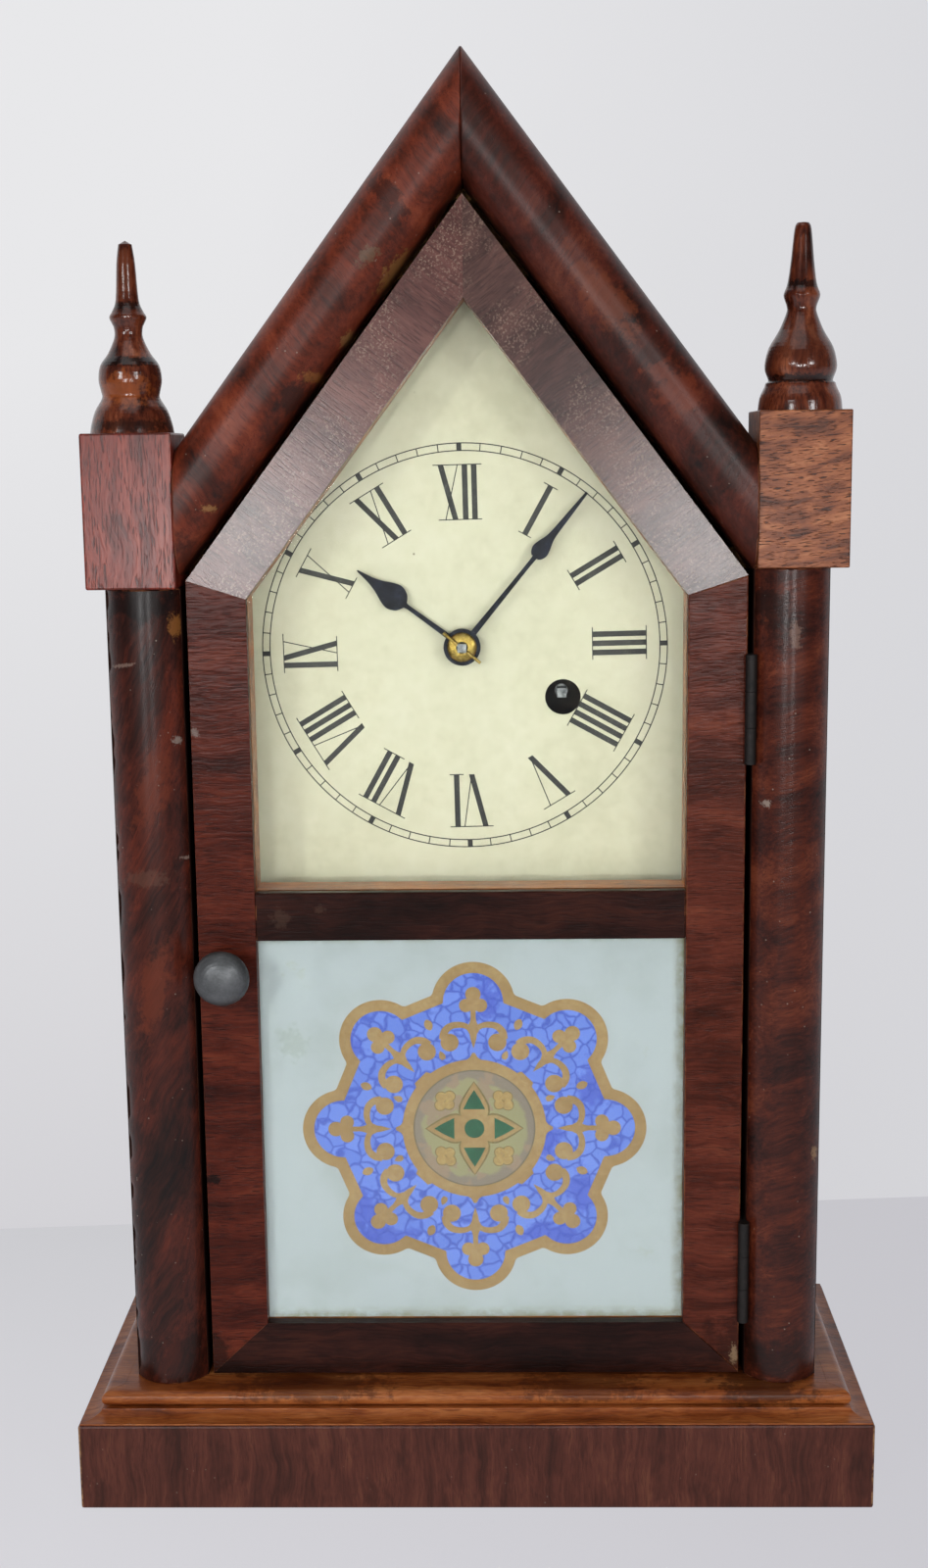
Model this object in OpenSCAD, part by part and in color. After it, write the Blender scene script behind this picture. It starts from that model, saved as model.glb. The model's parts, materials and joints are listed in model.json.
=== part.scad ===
// Steeple clock: a pointed wooden case with a glazed door, a painted dial and a pendulum movement
// The front faces -Y, +Z is up and the origin is the middle of the footprint

/* [Plinth] */
// Width of the plinth across the front
plinth_w = 286; // [278:1:310]
// Depth of the plinth from front to back
plinth_d = 118; // [114:1:150]
// Height of the plinth boards
plinth_h = 32; // [24:1:45]
// Thickness of the plinth boards
plinth_t = 10; // [7:0.5:13]
// Leg of the glue blocks in the corners
glue_leg = 18; // [12:1:24]

/* [Base moulding] */
// Height of the moulding and of the board behind it
base_h = 9; // [8:0.5:14]
// Width of the moulding strip
base_w = 15; // [12:0.5:16]
// Set-back of the bead from the face of the plinth
bead_inset = 7.5; // [5:0.5:9]
// Height of the half-round bead
bead_h = 5.6; // [4:0.2:6.4]

/* [Case] */
// Overall height to the point of the gable
case_h = 507.5; // [500:0.5:540]
// Width across the front posts
case_w = 249; // [242:1:254]
// Slope of the gable in degrees
roof_pitch = 52.8; // [51:0.1:55]
// Set-back of the front posts from the face of the plinth
post_set = 22; // [20:0.5:26]
// Width of the front posts
post_w = 26; // [22:0.5:28]
// Depth of the front posts
post_d = 21; // [20:0.5:24]
// Width of the stop that the door closes on
stop_w = 6.5; // [4:0.5:8]
// Thickness of that stop
stop_t = 4.8; // [3:0.2:6]
// Thickness of the side boards
side_t = 13; // [9:0.5:15]
// Thickness of the roof boards
roof_t = 12; // [9:0.5:14]
// Thickness of the back board
back_t = 6; // [4:0.5:8]
// Reveal of the side and roof boards behind the front mouldings
reveal = 1; // [0.5:0.1:2]
// Height of the glue block under the ridge
ridge_h = 50; // [40:1:56]

/* [Gable mouldings] */
// Width of the half-round moulding
gable_w = 25.7; // [22:0.1:28]
// Height of its round face
gable_rise = 12; // [8:0.5:12.4]

/* [Columns and blocks] */
// Height of the round face of the columns
column_rise = 8; // [5:0.5:10]
// Width of the blocks at the shoulders
block_w = 31; // [28:0.5:32]
// Depth of those blocks
block_d = 30; // [26:0.5:30]
// Height of those blocks
block_h = 52.5; // [44:0.5:60]
// Height of the right block above the foot of the gable moulding
block_lift = 0.8; // [0.4:0.1:3]
// How much lower the left block sits
left_drop = 5; // [0:0.5:8]
// Height of the left finial
finial_left_h = 64; // [56:0.5:72]
// Height of the right finial
finial_right_h = 62; // [56:0.5:72]
// Radius of the finials at the foot
finial_r = 14.3; // [12:0.1:14.8]
// Radius of the dowel under a finial
dowel_r = 4; // [3:0.5:6]
// Length of that dowel
dowel_l = 12; // [8:1:20]

/* [Door] */
// Gap between the door and the posts
door_gap = 2; // [1.6:0.1:2.6]
// Gap under the door
door_foot = 1; // [0.6:0.1:2]
// Gap between the door and the gable moulding
door_top_gap = 2.7; // [2:0.1:4]
// How far the door stands in front of the posts
door_proud = 1; // [0.5:0.1:1.5]
// Thickness of the door frame
door_t = 19; // [17:0.5:20]
// Width of the upright door stiles
stile_w = 20.5; // [18:0.1:23]
// Width of the sloping door rafters
rafter_w = 20.3; // [18:0.1:23]
// Height of the bottom rail
bottom_rail_h = 19.5; // [16:0.5:24]
// Height of the opening for the painted tablet
tablet_h = 144.3; // [130:0.1:150]
// Height of the cross rail
cross_rail_h = 17.4; // [14:0.1:20]
// Width of the rebate for the glass
rebate_w = 4; // [3:0.2:4.6]
// Depth of the glass behind the face of the door
glass_set = 4.2; // [3:0.2:6]
// Thickness of both glasses
glass_t = 1.6; // [1.2:0.1:1.8]
// Depth of the beads that fill the rebate behind the glass
bead_d = 12.8; // [8:0.2:13]

/* [Knob and latch] */
// Radius of the door knob
knob_r = 9.8; // [8:0.1:11]
// Length of the knob in front of the door
knob_l = 17; // [13:0.5:20]
// Distance of the knob from the free edge of the door
knob_in = 9.5; // [9:0.1:11]
// Distance of the knob below the top of the tablet opening
knob_drop = 10.3; // [6:0.1:40]
// Radius of the knob's spindle
spindle_r = 2; // [1.4:0.1:2.6]
// Reach of the latch tongue from the spindle
tongue_l = 9.5; // [8.6:0.1:10.5]
// Thickness of the latch tongue
tongue_t = 1.2; // [0.8:0.1:1.6]

/* [Hinges] */
// Length of each hinge
hinge_l = 38; // [30:1:50]
// Height of the lower hinge's middle above the foot of the door
hinge_low = 40; // [30:1:60]
// Distance of the upper hinge's middle below the shoulder of the door
hinge_drop = 46; // [30:1:80]
// Thickness of the hinge leaves
leaf_t = 0.85; // [0.6:0.05:0.9]
// Width of the hinge leaves
leaf_w = 15; // [10:0.5:16]
// Radius of the hinge knuckles
knuckle_r = 2; // [1.8:0.1:2.2]
// Radius of the hinge pins
hinge_pin_r = 0.9; // [0.8:0.05:1.1]
// Distance of the hinge pins in front of the door
hinge_out = 2.5; // [2.4:0.1:2.8]

/* [Dial] */
// Set-back of the dial behind the front posts
dial_set = 8; // [7.6:0.1:9]
// Thickness of the dial sheet
dial_t = 0.8; // [0.5:0.1:1]
// Height of the dial's centre above the cross rail
dial_rise = 84.1; // [80:0.1:90]
// Offset of the dial's centre from the middle of the case
dial_x = -2.2; // [-3:0.1:3]
// How far the dial reaches below the top of the cross rail
dial_lap = 15; // [10:0.5:17]
// Radius of the hole at the dial's centre
dial_hole_r = 4.6; // [4:0.1:6]
// Radius of the winding hole
wind_hole_r = 6.45; // [5:0.05:7.5]
// Thickness of the rails behind the dial
rail_t = 12; // [8:0.5:14]
// Radius of the heads of the dial pins
dial_pin_r = 1.6; // [1.2:0.1:2]

/* [Hands] */
// Length of the minute hand from its centre
minute_l = 70.2; // [60:0.1:72]
// Length of the hour hand from its centre
hour_l = 46.2; // [38:0.1:48]
// Position of the minute hand in degrees past twelve
minute_at = 39.5; // [0:0.5:359]
// Position of the hour hand in degrees past twelve
hour_at = 306.5; // [0:0.5:359]
// Thickness of the hands
hand_t = 0.8; // [0.5:0.1:1]
// Radius of the minute hand's boss
boss_r = 6.6; // [5:0.1:7.5]
// Radius of the domed washer
washer_r = 5.3; // [4:0.1:6]
// Radius of the taper pin
hand_pin_r = 0.55; // [0.4:0.05:0.7]
// Length of the taper pin
hand_pin_l = 17; // [12:0.5:20]

/* [Movement frame] */
// Gap between the dial and the front plate
plate_set = 20; // [19.5:0.1:22]
// Thickness of the brass plates
plate_t = 1.4; // [1:0.1:2]
// Clear space between the plates
plate_gap = 28; // [28:0.5:30]
// Reach of the plates to the left of the centre
plate_left = 50; // [49:0.5:56]
// Reach of the plates to the right of the centre
plate_right = 80; // [76:0.5:82]
// Reach of the plates below the centre
plate_low = 62; // [60:0.5:70]
// Reach of the plates above the centre
plate_high = 72; // [71:0.5:74]
// Radius of the middle of the windows cut in the plates
window_r = 46; // [44:0.5:47]
// Width of those windows
window_w = 11; // [6:0.5:12]
// Radius of the pillars
pillar_r = 2.6; // [2:0.1:3.2]
// Distance of the lower pillars and the feet from the plates' edges
pillar_in = 7; // [6:0.5:8]

/* [Train] */
// Distance of the winding arbor to the right of the centre
wind_x = 36.1; // [34:0.1:37]
// Distance of the winding arbor below the centre
wind_z = 18.9; // [16:0.1:20]
// Radius of the winding arbor
wind_r = 2.4; // [2:0.1:2.8]
// Teeth of the great wheel
great_teeth = 72; // [72:4:80]
// Bars of the centre wheel's lantern pinion
centre_bars = 8; // [8:1:9]
// Module of the centre wheel
centre_m = 0.8; // [0.78:0.01:0.82]
// Module of the third wheel
third_m = 0.7; // [0.68:0.01:0.72]
// Teeth of the escape wheel
escape_teeth = 32; // [30:1:36]
// Radius of the escape wheel
escape_r = 13.5; // [12:0.1:14]
// Radius of the centre arbor
centre_r = 2.1; // [1.9:0.05:2.2]
// Radius of the thinner arbors
arbor_r = 1.1; // [0.9:0.05:1.2]
// Radius of their pivots
pivot_r = 0.7; // [0.5:0.05:0.8]
// Radial clearance of every turning fit
run_gap = 0.05; // [0.02:0.01:0.08]

/* [Escapement] */
// Height of the crutch's fork above the dial's centre
fork_up = 18; // [14:0.5:22]
// Distance of the verge's stud above the escape wheel's teeth
verge_up = 5.5; // [5:0.1:7]

/* [Mainspring] */
// Radius of its innermost turn
spring_in_r = 3.2; // [3:0.1:3.6]
// Thickness of the spring strip
spring_t = 0.45; // [0.35:0.01:0.5]
// Pitch of its turns
spring_pitch = 1.3; // [1.2:0.05:1.4]
// Number of its turns
spring_turns = 13; // [10:1:14]
// Width of the spring strip
spring_w = 13; // [10:0.5:13.5]

/* [Pendulum] */
// Length of the suspension strip below its post
strip_l = 8; // [5:0.5:12]
// Length of the clip that joins the strip to the rod
clip_l = 3.5; // [3:0.5:6]
// Distance from the suspension to the middle of the bob
pendulum_l = 218; // [190:1:235]
// Distance of the pendulum to the left of the centre
pendulum_x = 9; // [8.8:0.1:10]
// Height of the suspension above the centre
suspend_z = 64.5; // [64:0.1:66]
// Radius of the pendulum rod
rod_r = 0.7; // [0.5:0.05:0.8]
// Radius of the bob
bob_r = 19; // [15:0.5:22]
// Thickness of the bob
bob_t = 9; // [7:0.5:11]

/* [Hidden] */
$fn = 48;

// Planes from front to back
face_y = -plinth_d / 2;
back_y = plinth_d / 2;
post_y = face_y + post_set;
side_y = post_y + post_d;
door_y = post_y - door_proud;
door_back_y = door_y + door_t;
stop_gap = 0.2;
glue_gap = 0.05;
stop_y = door_back_y + stop_gap;
stop_back_y = stop_y + stop_t;
dial_y = side_y + dial_set;
dial_back_y = dial_y + dial_t;
plate_y = dial_y + plate_set;
inner_y = plate_y + plate_t;
rear_y = inner_y + plate_gap;
rear_back_y = rear_y + plate_t;
board_y = back_y - back_t;

// Heights and half widths
base_top = plinth_h + base_h;
half_w = case_w / 2;
open_w = half_w - post_w;
side_out = half_w - reveal;
side_in = side_out - side_t;
slope = tan(roof_pitch);
rise = 1 / cos(roof_pitch);
gable_low = case_h - gable_w * rise;
roof_top = case_h - reveal;
roof_low = roof_top - roof_t * rise;
block_z = gable_low - slope * open_w + block_lift;
left_z = block_z - left_drop;
block_y = side_y - block_d;
block_x = open_w + block_w / 2;

// The door
door_w = open_w - door_gap;
glass_w = door_w - stile_w;
door_z = base_top + door_foot;
tablet_z = door_z + bottom_rail_h;
cross_z = tablet_z + tablet_h;
upper_z = cross_z + cross_rail_h;
door_peak = gable_low - door_top_gap * rise;
glass_peak = door_peak - rafter_w * rise;
glass_y = door_y + glass_set;
glass_gap = 0.5;
hinge_x = open_w - door_gap / 2;
hinge_y = door_y - hinge_out;
hinge_gap = 0.3;
knob_x = -door_w + knob_in;
knob_z = cross_z - knob_drop;

// The dial and the movement, measured from the centre of the dial
dial_z = upper_z + dial_rise;
dial_edge_gap = 2;
dial_w = open_w - stop_w - dial_edge_gap;
dial_low = upper_z - dial_lap;
dial_over = 18;
dial_peak = glass_peak + dial_over;
rail_cover = 8;
rail_in = dial_w - rail_cover;
escape_at = [-pendulum_x, 36];
verge_at = [-pendulum_x, escape_at[1] + escape_r + verge_up];
suspend_at = [-pendulum_x, suspend_z];
wind_at = [wind_x, -wind_z];
great_m = 2 * norm(wind_at) / (great_teeth + centre_bars);
centre_teeth = 72;
third_teeth = 60;
small_bars = 6;
third_reach = centre_m * (centre_teeth + small_bars) / 2;
escape_reach = third_m * (third_teeth + small_bars) / 2;
third_at = meet([0, 0], third_reach, escape_at, escape_reach);
motion_m = 0.75;
cannon_teeth = 12;
minute_teeth = 36;
pinion_teeth = 10;
hour_teeth = 40;
minute_reach = motion_m * (cannon_teeth + minute_teeth) / 2;
hour_m = 2 * minute_reach / (pinion_teeth + hour_teeth);
minute_at_stud = [minute_reach * cos(-45), minute_reach * sin(-45)];
pipe_r = 3;
stud_r = 1;
notch_w = 40;
notch_h = 52;
window_in = window_r - window_w / 2;
window_out = window_r + window_w / 2;
pillars = [
    [2 * pillar_in - plate_left, pillar_in - plate_low],
    [plate_right - pillar_in, pillar_in - plate_low],
    [pillar_in - plate_left, plate_high - 2 * pillar_in],
    [plate_right - 3 * pillar_in, plate_high - 5 * pillar_in]
];
feet = [
    [pillar_in - plate_left, 3 * pillar_in - plate_low],
    [plate_right - pillar_in, 4 * pillar_in - plate_low],
    [pillar_in - plate_left, plate_high - 5 * pillar_in],
    [plate_right - pillar_in, plate_high - notch_h - 2 * pillar_in]
];
foot_r = 4;
screw_r = 1.5;
screw_in = 4;

// Depths in the movement, from front to back
hour_hand_y = dial_y - 3.2;
minute_hand_y = dial_y - 6;
washer_y = minute_hand_y - 1.2;
hand_pin_y = washer_y - 1.2 - hand_pin_r;
arbor_tip_y = hand_pin_y - 1.9;
minute_y = plate_y - 2.3;
hour_y = plate_y - 4.8;
escape_y = plate_y - 3.6;
rod_y = plate_y - 9.2;
crutch_y = rod_y + 3.6;
centre_y = inner_y + 2.6;
great_y = inner_y + 7.8;
ratchet_y = great_y + 2.2;
spring_y = ratchet_y + 2.6;
third_y = inner_y + 15.2;
wheel_t = 1.3;

// Colours
walnut = "#6b3a26";
dark_walnut = "#43231a";
orange_walnut = "#94583a";
pine = "#b08f63";
brass = "#b8974f";
steel = "#7d7f82";
blued = "#22242a";

// Helpers

function polar(r, a) = [r * cos(a), r * sin(a)];

// Left-hand crossing of two circles
function meet(a, ra, b, rb) =
    let (d = norm(b - a), u = (b - a) / d)
    let (f = (ra * ra - rb * rb + d * d) / (2 * d), h = sqrt(ra * ra - f * f))
    a + f * u + h * [-u[1], u[0]];

// Smooth curve through a few points, in n steps between each two
function smooth(p, n) = [
    for (i = [0 : len(p) - 2], k = [0 : n - 1])
        let (t = k / n, a = p[max(i - 1, 0)], b = p[i], c = p[i + 1], d = p[min(i + 2, len(p) - 1)])
        b + t * (c - a) / 2 + t * t * (2 * a - 5 * b + 4 * c - d) / 2
            + t * t * t * (3 * b - a - 3 * c + d) / 2,
    p[len(p) - 1]
];

// Outline of a wheel with straight-sided teeth, root and tip given as shares of the pitch
function toothed(n, m, phase, root = 0.3, tip = 0.1, add = 0.9, ded = 1.1) = [
    for (i = [0 : n - 1], s = [-1, 1], k = s < 0 ? [0, 1] : [1, 0])
        polar(m * (n / 2 + (k == 1 ? add : -ded)), phase + (i + s * (k == 1 ? tip : root) / 2) * 360 / n)
];

// Outline of saw teeth that lean one way
function saw(n, tip, root, lean) = [
    for (i = [0 : n - 1], p = [polar(tip, i * 360 / n), polar(root, (i + lean) * 360 / n)]) p
];

function sector(r0, r1, a0, a1) = concat(
    [for (k = [0 : 6]) polar(r0, a0 + (a1 - a0) * k / 6)],
    [for (k = [6 : -1 : 0]) polar(r1, a0 + (a1 - a0) * k / 6)]
);

// Opening of the upper door, grown by o on every side
function upper_outline(o) = let (w = glass_w + o, top = glass_peak + o * rise) [
    [-w, upper_z - o], [w, upper_z - o], [w, top - slope * w], [0, top], [-w, top - slope * w]
];
function tablet_outline(o) = [
    [-glass_w - o, tablet_z - o], [glass_w + o, tablet_z - o],
    [glass_w + o, cross_z + o], [-glass_w - o, cross_z + o]
];

// Flat outline in X and Z, given thickness from y0 to y1
module slab(points, y0, y1) {
    translate([0, y1, 0]) rotate([90, 0, 0]) linear_extrude(y1 - y0) polygon(points);
}

module bar(r, y0, y1, at = [0, 0]) {
    translate([at[0], y1, at[1]]) rotate([90, 0, 0]) cylinder(r = r, h = y1 - y0);
}

module block(x, y, z) {
    translate([x[0], y[0], z[0]]) cube([x[1] - x[0], y[1] - y[0], z[1] - z[0]]);
}

module both() {
    children();
    mirror([1, 0, 0]) children();
}

module at_dial() {
    translate([dial_x, 0, dial_z]) children();
}

module at(p) {
    translate([dial_x + p[0], 0, dial_z + p[1]]) children();
}

// Case

module plinth_front() {
    color(dark_walnut) block([-plinth_w / 2, plinth_w / 2], [face_y, face_y + plinth_t], [0, plinth_h]);
}

module plinth_sides() {
    color(dark_walnut) both()
        block([plinth_w / 2 - plinth_t, plinth_w / 2], [face_y + plinth_t, back_y], [0, plinth_h]);
}

module plinth_back() {
    w = plinth_w / 2 - plinth_t;
    color(pine) block([-w, w], [back_y - plinth_t, back_y], [0, plinth_h]);
}

module glue_blocks() {
    w = plinth_w / 2 - plinth_t;
    inset = 2;
    color(pine) {
        for (sx = [-1, 1], sy = [-1, 1])
            translate([sx * w, sy * (back_y - plinth_t), inset]) linear_extrude(plinth_h - inset)
                polygon([[0, 0], [-sx * glue_leg, 0], [0, -sy * glue_leg]]);
        difference() {
            slab([
                [0, roof_low],
                [ridge_h / slope, roof_low - ridge_h],
                [-ridge_h / slope, roof_low - ridge_h]
            ], dial_back_y, dial_back_y + rail_t);
            bar(dial_shank_r, dial_y, dial_back_y + pin_hole_l, [0, dial_peak - pin_in]);
        }
    }
}

module base_board() {
    w = plinth_w / 2 - base_w;
    color(orange_walnut) block([-w, w], [face_y + base_w, back_y], [plinth_h, base_top]);
}

// Cove below and half-round bead above, from the face inwards
module base_profile() {
    foot = 0.6;
    cove_h = base_h - bead_h - 0.4;
    b = bead_h / 2;
    polygon(concat(
        [[base_w, 0], [foot, 0]],
        [for (t = [0 : 10 : 90]) [foot + (bead_inset - foot) * sin(t), cove_h - (cove_h - 0.5) * cos(t)]],
        [for (t = [0 : 15 : 180]) [bead_inset + b - b * sin(t), base_h - b - b * cos(t)]],
        [[base_w, base_h]]
    ));
}

module base_run(length) {
    rotate([90, 0, 90]) linear_extrude(length, center = true) base_profile();
}

module base_moulding_front() {
    w = plinth_w / 2;
    color(orange_walnut) intersection() {
        translate([0, face_y, plinth_h]) base_run(plinth_w);
        translate([0, 0, plinth_h]) linear_extrude(base_h)
            polygon([
                [-w, face_y], [w, face_y], [w - base_w, face_y + base_w], [base_w - w, face_y + base_w]
            ]);
    }
}

module base_moulding_right() {
    w = plinth_w / 2;
    color(orange_walnut) intersection() {
        translate([w, 0, plinth_h]) rotate([0, 0, 90]) base_run(plinth_d);
        translate([0, 0, plinth_h]) linear_extrude(base_h)
            polygon([[w, face_y], [w, back_y], [w - base_w, back_y], [w - base_w, face_y + base_w]]);
    }
}

module base_moulding_left() {
    mirror([1, 0, 0]) base_moulding_right();
}

module side_boards() {
    color(pine) both() slab([
        [side_in, base_top],
        [side_out, base_top],
        [side_out, roof_low - slope * side_out],
        [side_in, roof_low - slope * side_in]
    ], side_y, board_y);
}

module front_post(top) {
    translate([0, 0, base_top]) linear_extrude(top - base_top) polygon([
        [open_w, post_y], [half_w, post_y], [half_w, side_y], [side_in, side_y],
        [side_in, stop_back_y], [open_w, stop_back_y]
    ]);
    stop_top = min(top, gable_low - slope * open_w - 1);
    block([open_w - stop_w, open_w + 1], [stop_y, stop_back_y], [base_top, stop_top]);
}

module front_posts() {
    color(pine) {
        front_post(block_z);
        mirror([1, 0, 0]) front_post(left_z);
    }
}

// Shallow round face of height h on a chord of width w, standing out from the plane y
module column(w, h, y, z0, z1) {
    r = (w * w / 4 + h * h) / (2 * h);
    intersection() {
        translate([0, y - h + r, z0]) cylinder(r = r, h = z1 - z0);
        block([-w / 2, w / 2], [y - h, y], [z0, z1]);
    }
}

module column_right() {
    color(dark_walnut) translate([open_w + post_w / 2, 0, 0])
        column(post_w, column_rise, post_y, base_top, block_z);
}

module column_left() {
    color(dark_walnut) translate([-open_w - post_w / 2, 0, 0])
        column(post_w, column_rise, post_y, base_top, left_z);
}

module shoulder_block(z) {
    difference() {
        block([block_x - block_w / 2, block_x + block_w / 2], [block_y, side_y], [z, z + block_h]);
        translate([block_x, side_y - block_d / 2, z + block_h - dowel_l - 1])
            cylinder(r = dowel_r + glue_gap, h = dowel_l + 2);
    }
}

module block_right() {
    color(orange_walnut) shoulder_block(block_z);
}

module block_left() {
    color(walnut) mirror([1, 0, 0]) shoulder_block(left_z);
}

// Turned finial, radii and heights given for a foot radius and a height of one
module finial(outline, h) {
    body = smooth(outline, 4);
    rotate_extrude($fn = 64) polygon(concat(
        [[0, -dowel_l], [dowel_r, -dowel_l], [dowel_r, 0]],
        [for (p = body) [p[0] * finial_r, p[1] * h]],
        [[0, h]]
    ));
}

module finial_left() {
    z = left_z + block_h;
    color(dark_walnut) translate([-block_x, side_y - block_d / 2, z]) finial([
        [1, 0], [0.96, 0.05], [0.86, 0.12], [0.69, 0.185], [0.7, 0.22], [0.75, 0.28], [0.7, 0.355],
        [0.5, 0.42], [0.34, 0.5], [0.34, 0.55], [0.39, 0.577], [0.44, 0.607], [0.36, 0.64],
        [0.27, 0.7], [0.22, 0.88], [0.16, 0.98]
    ], finial_left_h);
}

module finial_right() {
    z = block_z + block_h;
    color(dark_walnut) translate([block_x, side_y - block_d / 2, z]) finial([
        [1, 0], [0.96, 0.07], [0.85, 0.127], [0.82, 0.148], [0.76, 0.163], [0.84, 0.215], [0.84, 0.265],
        [0.75, 0.34], [0.52, 0.43], [0.36, 0.52], [0.35, 0.555], [0.42, 0.602], [0.42, 0.627],
        [0.34, 0.68], [0.27, 0.8], [0.2, 0.96], [0.14, 0.995]
    ], finial_right_h);
}

module roof_boards() {
    joint = glue_gap / 2;
    color(walnut) both() slab([
        [joint, roof_top - slope * joint],
        [half_w, roof_top - slope * half_w],
        [half_w, roof_low - slope * half_w],
        [joint, roof_low - slope * joint]
    ], side_y, board_y);
}

// Half-round bar along the right-hand slope, mitred at the peak and cut upright at the shoulder
module gable_moulding_right() {
    r = (gable_w * gable_w / 4 + gable_rise * gable_rise) / (2 * gable_rise);
    run = open_w * rise + gable_w * slope;
    color(walnut) intersection() {
        translate([0, 0, case_h]) rotate([0, roof_pitch, 0]) union() {
            block([-gable_w, run], [post_y, side_y], [-gable_w, 0]);
            intersection() {
                translate([-gable_w, post_y - gable_rise + r, -gable_w / 2]) rotate([0, 90, 0])
                    cylinder(r = r, h = run + gable_w);
                block([-gable_w, run], [post_y - gable_rise, post_y], [-gable_w, 0]);
            }
        }
        block([0, open_w], [face_y, back_y], [base_top, case_h + 1]);
    }
}

module gable_moulding_left() {
    mirror([1, 0, 0]) gable_moulding_right();
}

module back_board() {
    top = roof_top - slope * side_out;
    color(pine) difference() {
        slab([
            [-side_out, base_top], [side_out, base_top], [side_out, top], [0, roof_top], [-side_out, top]
        ], board_y, back_y);
        at_dial() for (p = feet) bar(screw_r, board_y - 1, board_y + screw_in, p);
    }
}

pin_in = 6;
pin_hole_l = 8;
dial_shank_r = 0.6;
dial_pin_spots = [
    for (sx = [-1, 1], z = [dial_low + pin_in, dial_peak - slope * dial_w - pin_in]) [sx * (dial_w - 4), z],
    [0, dial_peak - pin_in]
];

module dial_rails() {
    top = roof_low - slope * side_in;
    color(pine) difference() {
        both() block([rail_in, side_in], [dial_back_y, dial_back_y + rail_t], [dial_low - 8, top]);
        for (p = dial_pin_spots) bar(dial_shank_r, dial_y, dial_back_y + pin_hole_l, p);
    }
}

module dial() {
    top = dial_peak - slope * dial_w;
    color("#ded9c0") difference() {
        slab([
            [-dial_w, dial_low], [dial_w, dial_low], [dial_w, top], [0, dial_peak], [-dial_w, top]
        ], dial_y, dial_back_y);
        at_dial() bar(dial_hole_r, dial_y - 1, dial_back_y + 1);
        at(wind_at) bar(wind_hole_r, dial_y - 1, dial_back_y + 1);
        for (p = dial_pin_spots) bar(dial_shank_r, dial_y - 1, dial_back_y + 1, p);
    }
}

module dial_pins() {
    color(brass) for (p = dial_pin_spots) {
        bar(dial_pin_r, dial_y - 0.6, dial_y, p);
        bar(dial_shank_r, dial_y - 0.3, dial_back_y + pin_hole_l, p);
    }
}

// Hinges, drawn about the pin with z from the middle of the hinge

hinge_spots = [door_z + hinge_low, door_peak - slope * door_w - hinge_drop];
knuckle_l = hinge_l / 3;

module case_hinge_leaves() {
    free = door_gap / 2;
    low = hinge_gap / 2 - knuckle_l / 2;
    color(brass) for (z = hinge_spots) translate([hinge_x, hinge_y, z]) difference() {
        union() {
            block([free - leaf_t, free], [knuckle_r + hinge_gap, leaf_w], [-hinge_l / 2, hinge_l / 2]);
            block([free - leaf_t, free], [0, leaf_w], [low, -low]);
            translate([0, 0, low]) cylinder(r = knuckle_r, h = -2 * low);
        }
        translate([0, 0, -hinge_l]) cylinder(r = hinge_pin_r + run_gap, h = 2 * hinge_l);
    }
}

module door_hinge_leaves() {
    free = door_gap / 2;
    color(brass) for (z = hinge_spots) translate([hinge_x, hinge_y, z]) {
        block([-free, leaf_t - free], [knuckle_r + hinge_gap, leaf_w], [-hinge_l / 2, hinge_l / 2]);
        for (s = [-1, 1]) {
            z0 = s < 0 ? -hinge_l / 2 : knuckle_l / 2;
            block([-free, leaf_t - free], [0, leaf_w], [z0, z0 + knuckle_l]);
            translate([0, 0, z0]) cylinder(r = knuckle_r, h = knuckle_l);
        }
        translate([0, 0, -hinge_l / 2]) cylinder(r = hinge_pin_r, h = hinge_l);
    }
}

// Door

module rebates() {
    slab(upper_outline(rebate_w), glass_y, door_back_y + 1);
    slab(tablet_outline(rebate_w), glass_y, door_back_y + 1);
}

module door_stile_right() {
    color(walnut) difference() {
        slab([
            [glass_w, tablet_z],
            [door_w, door_z],
            [door_w, door_peak - slope * door_w],
            [glass_w, glass_peak - slope * glass_w]
        ], door_y, door_back_y);
        rebates();
    }
}

module door_stile_left() {
    color(walnut) difference() {
        mirror([1, 0, 0]) door_stile_right();
        bar(spindle_r + run_gap, door_y - 1, door_back_y + 1, [knob_x, knob_z]);
    }
}

module door_rafter_right() {
    color(walnut) difference() {
        slab([
            [0, door_peak],
            [0, glass_peak],
            [glass_w, glass_peak - slope * glass_w],
            [door_w, door_peak - slope * door_w]
        ], door_y, door_back_y);
        rebates();
    }
}

module door_rafter_left() {
    mirror([1, 0, 0]) door_rafter_right();
}

// Mitred with the stiles at both corners
module door_bottom_rail() {
    color(walnut) difference() {
        slab([
            [-door_w, door_z], [door_w, door_z], [glass_w, tablet_z], [-glass_w, tablet_z]
        ], door_y, door_back_y);
        rebates();
    }
}

module door_cross_rail() {
    color(dark_walnut) difference() {
        block([-glass_w, glass_w], [door_y, door_back_y], [cross_z, upper_z]);
        rebates();
    }
}

module upper_glass() {
    color("#d9e4e6", 0.3) slab(upper_outline(rebate_w - glass_gap), glass_y, glass_y + glass_t);
}

module tablet_glass() {
    color("#b5c3c6") slab(tablet_outline(rebate_w - glass_gap), glass_y, glass_y + glass_t);
}

// Square beads behind each glass, all round its opening and flush with it
module glazing_strips() {
    y0 = glass_y + glass_t;
    color(orange_walnut) {
        difference() {
            slab(upper_outline(rebate_w), y0, y0 + bead_d);
            slab(upper_outline(0), y0 - 1, y0 + bead_d + 1);
        }
        difference() {
            slab(tablet_outline(rebate_w), y0, y0 + bead_d);
            slab(tablet_outline(0), y0 - 1, y0 + bead_d + 1);
        }
    }
}

tongue_y = stop_back_y + 0.2;

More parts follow.
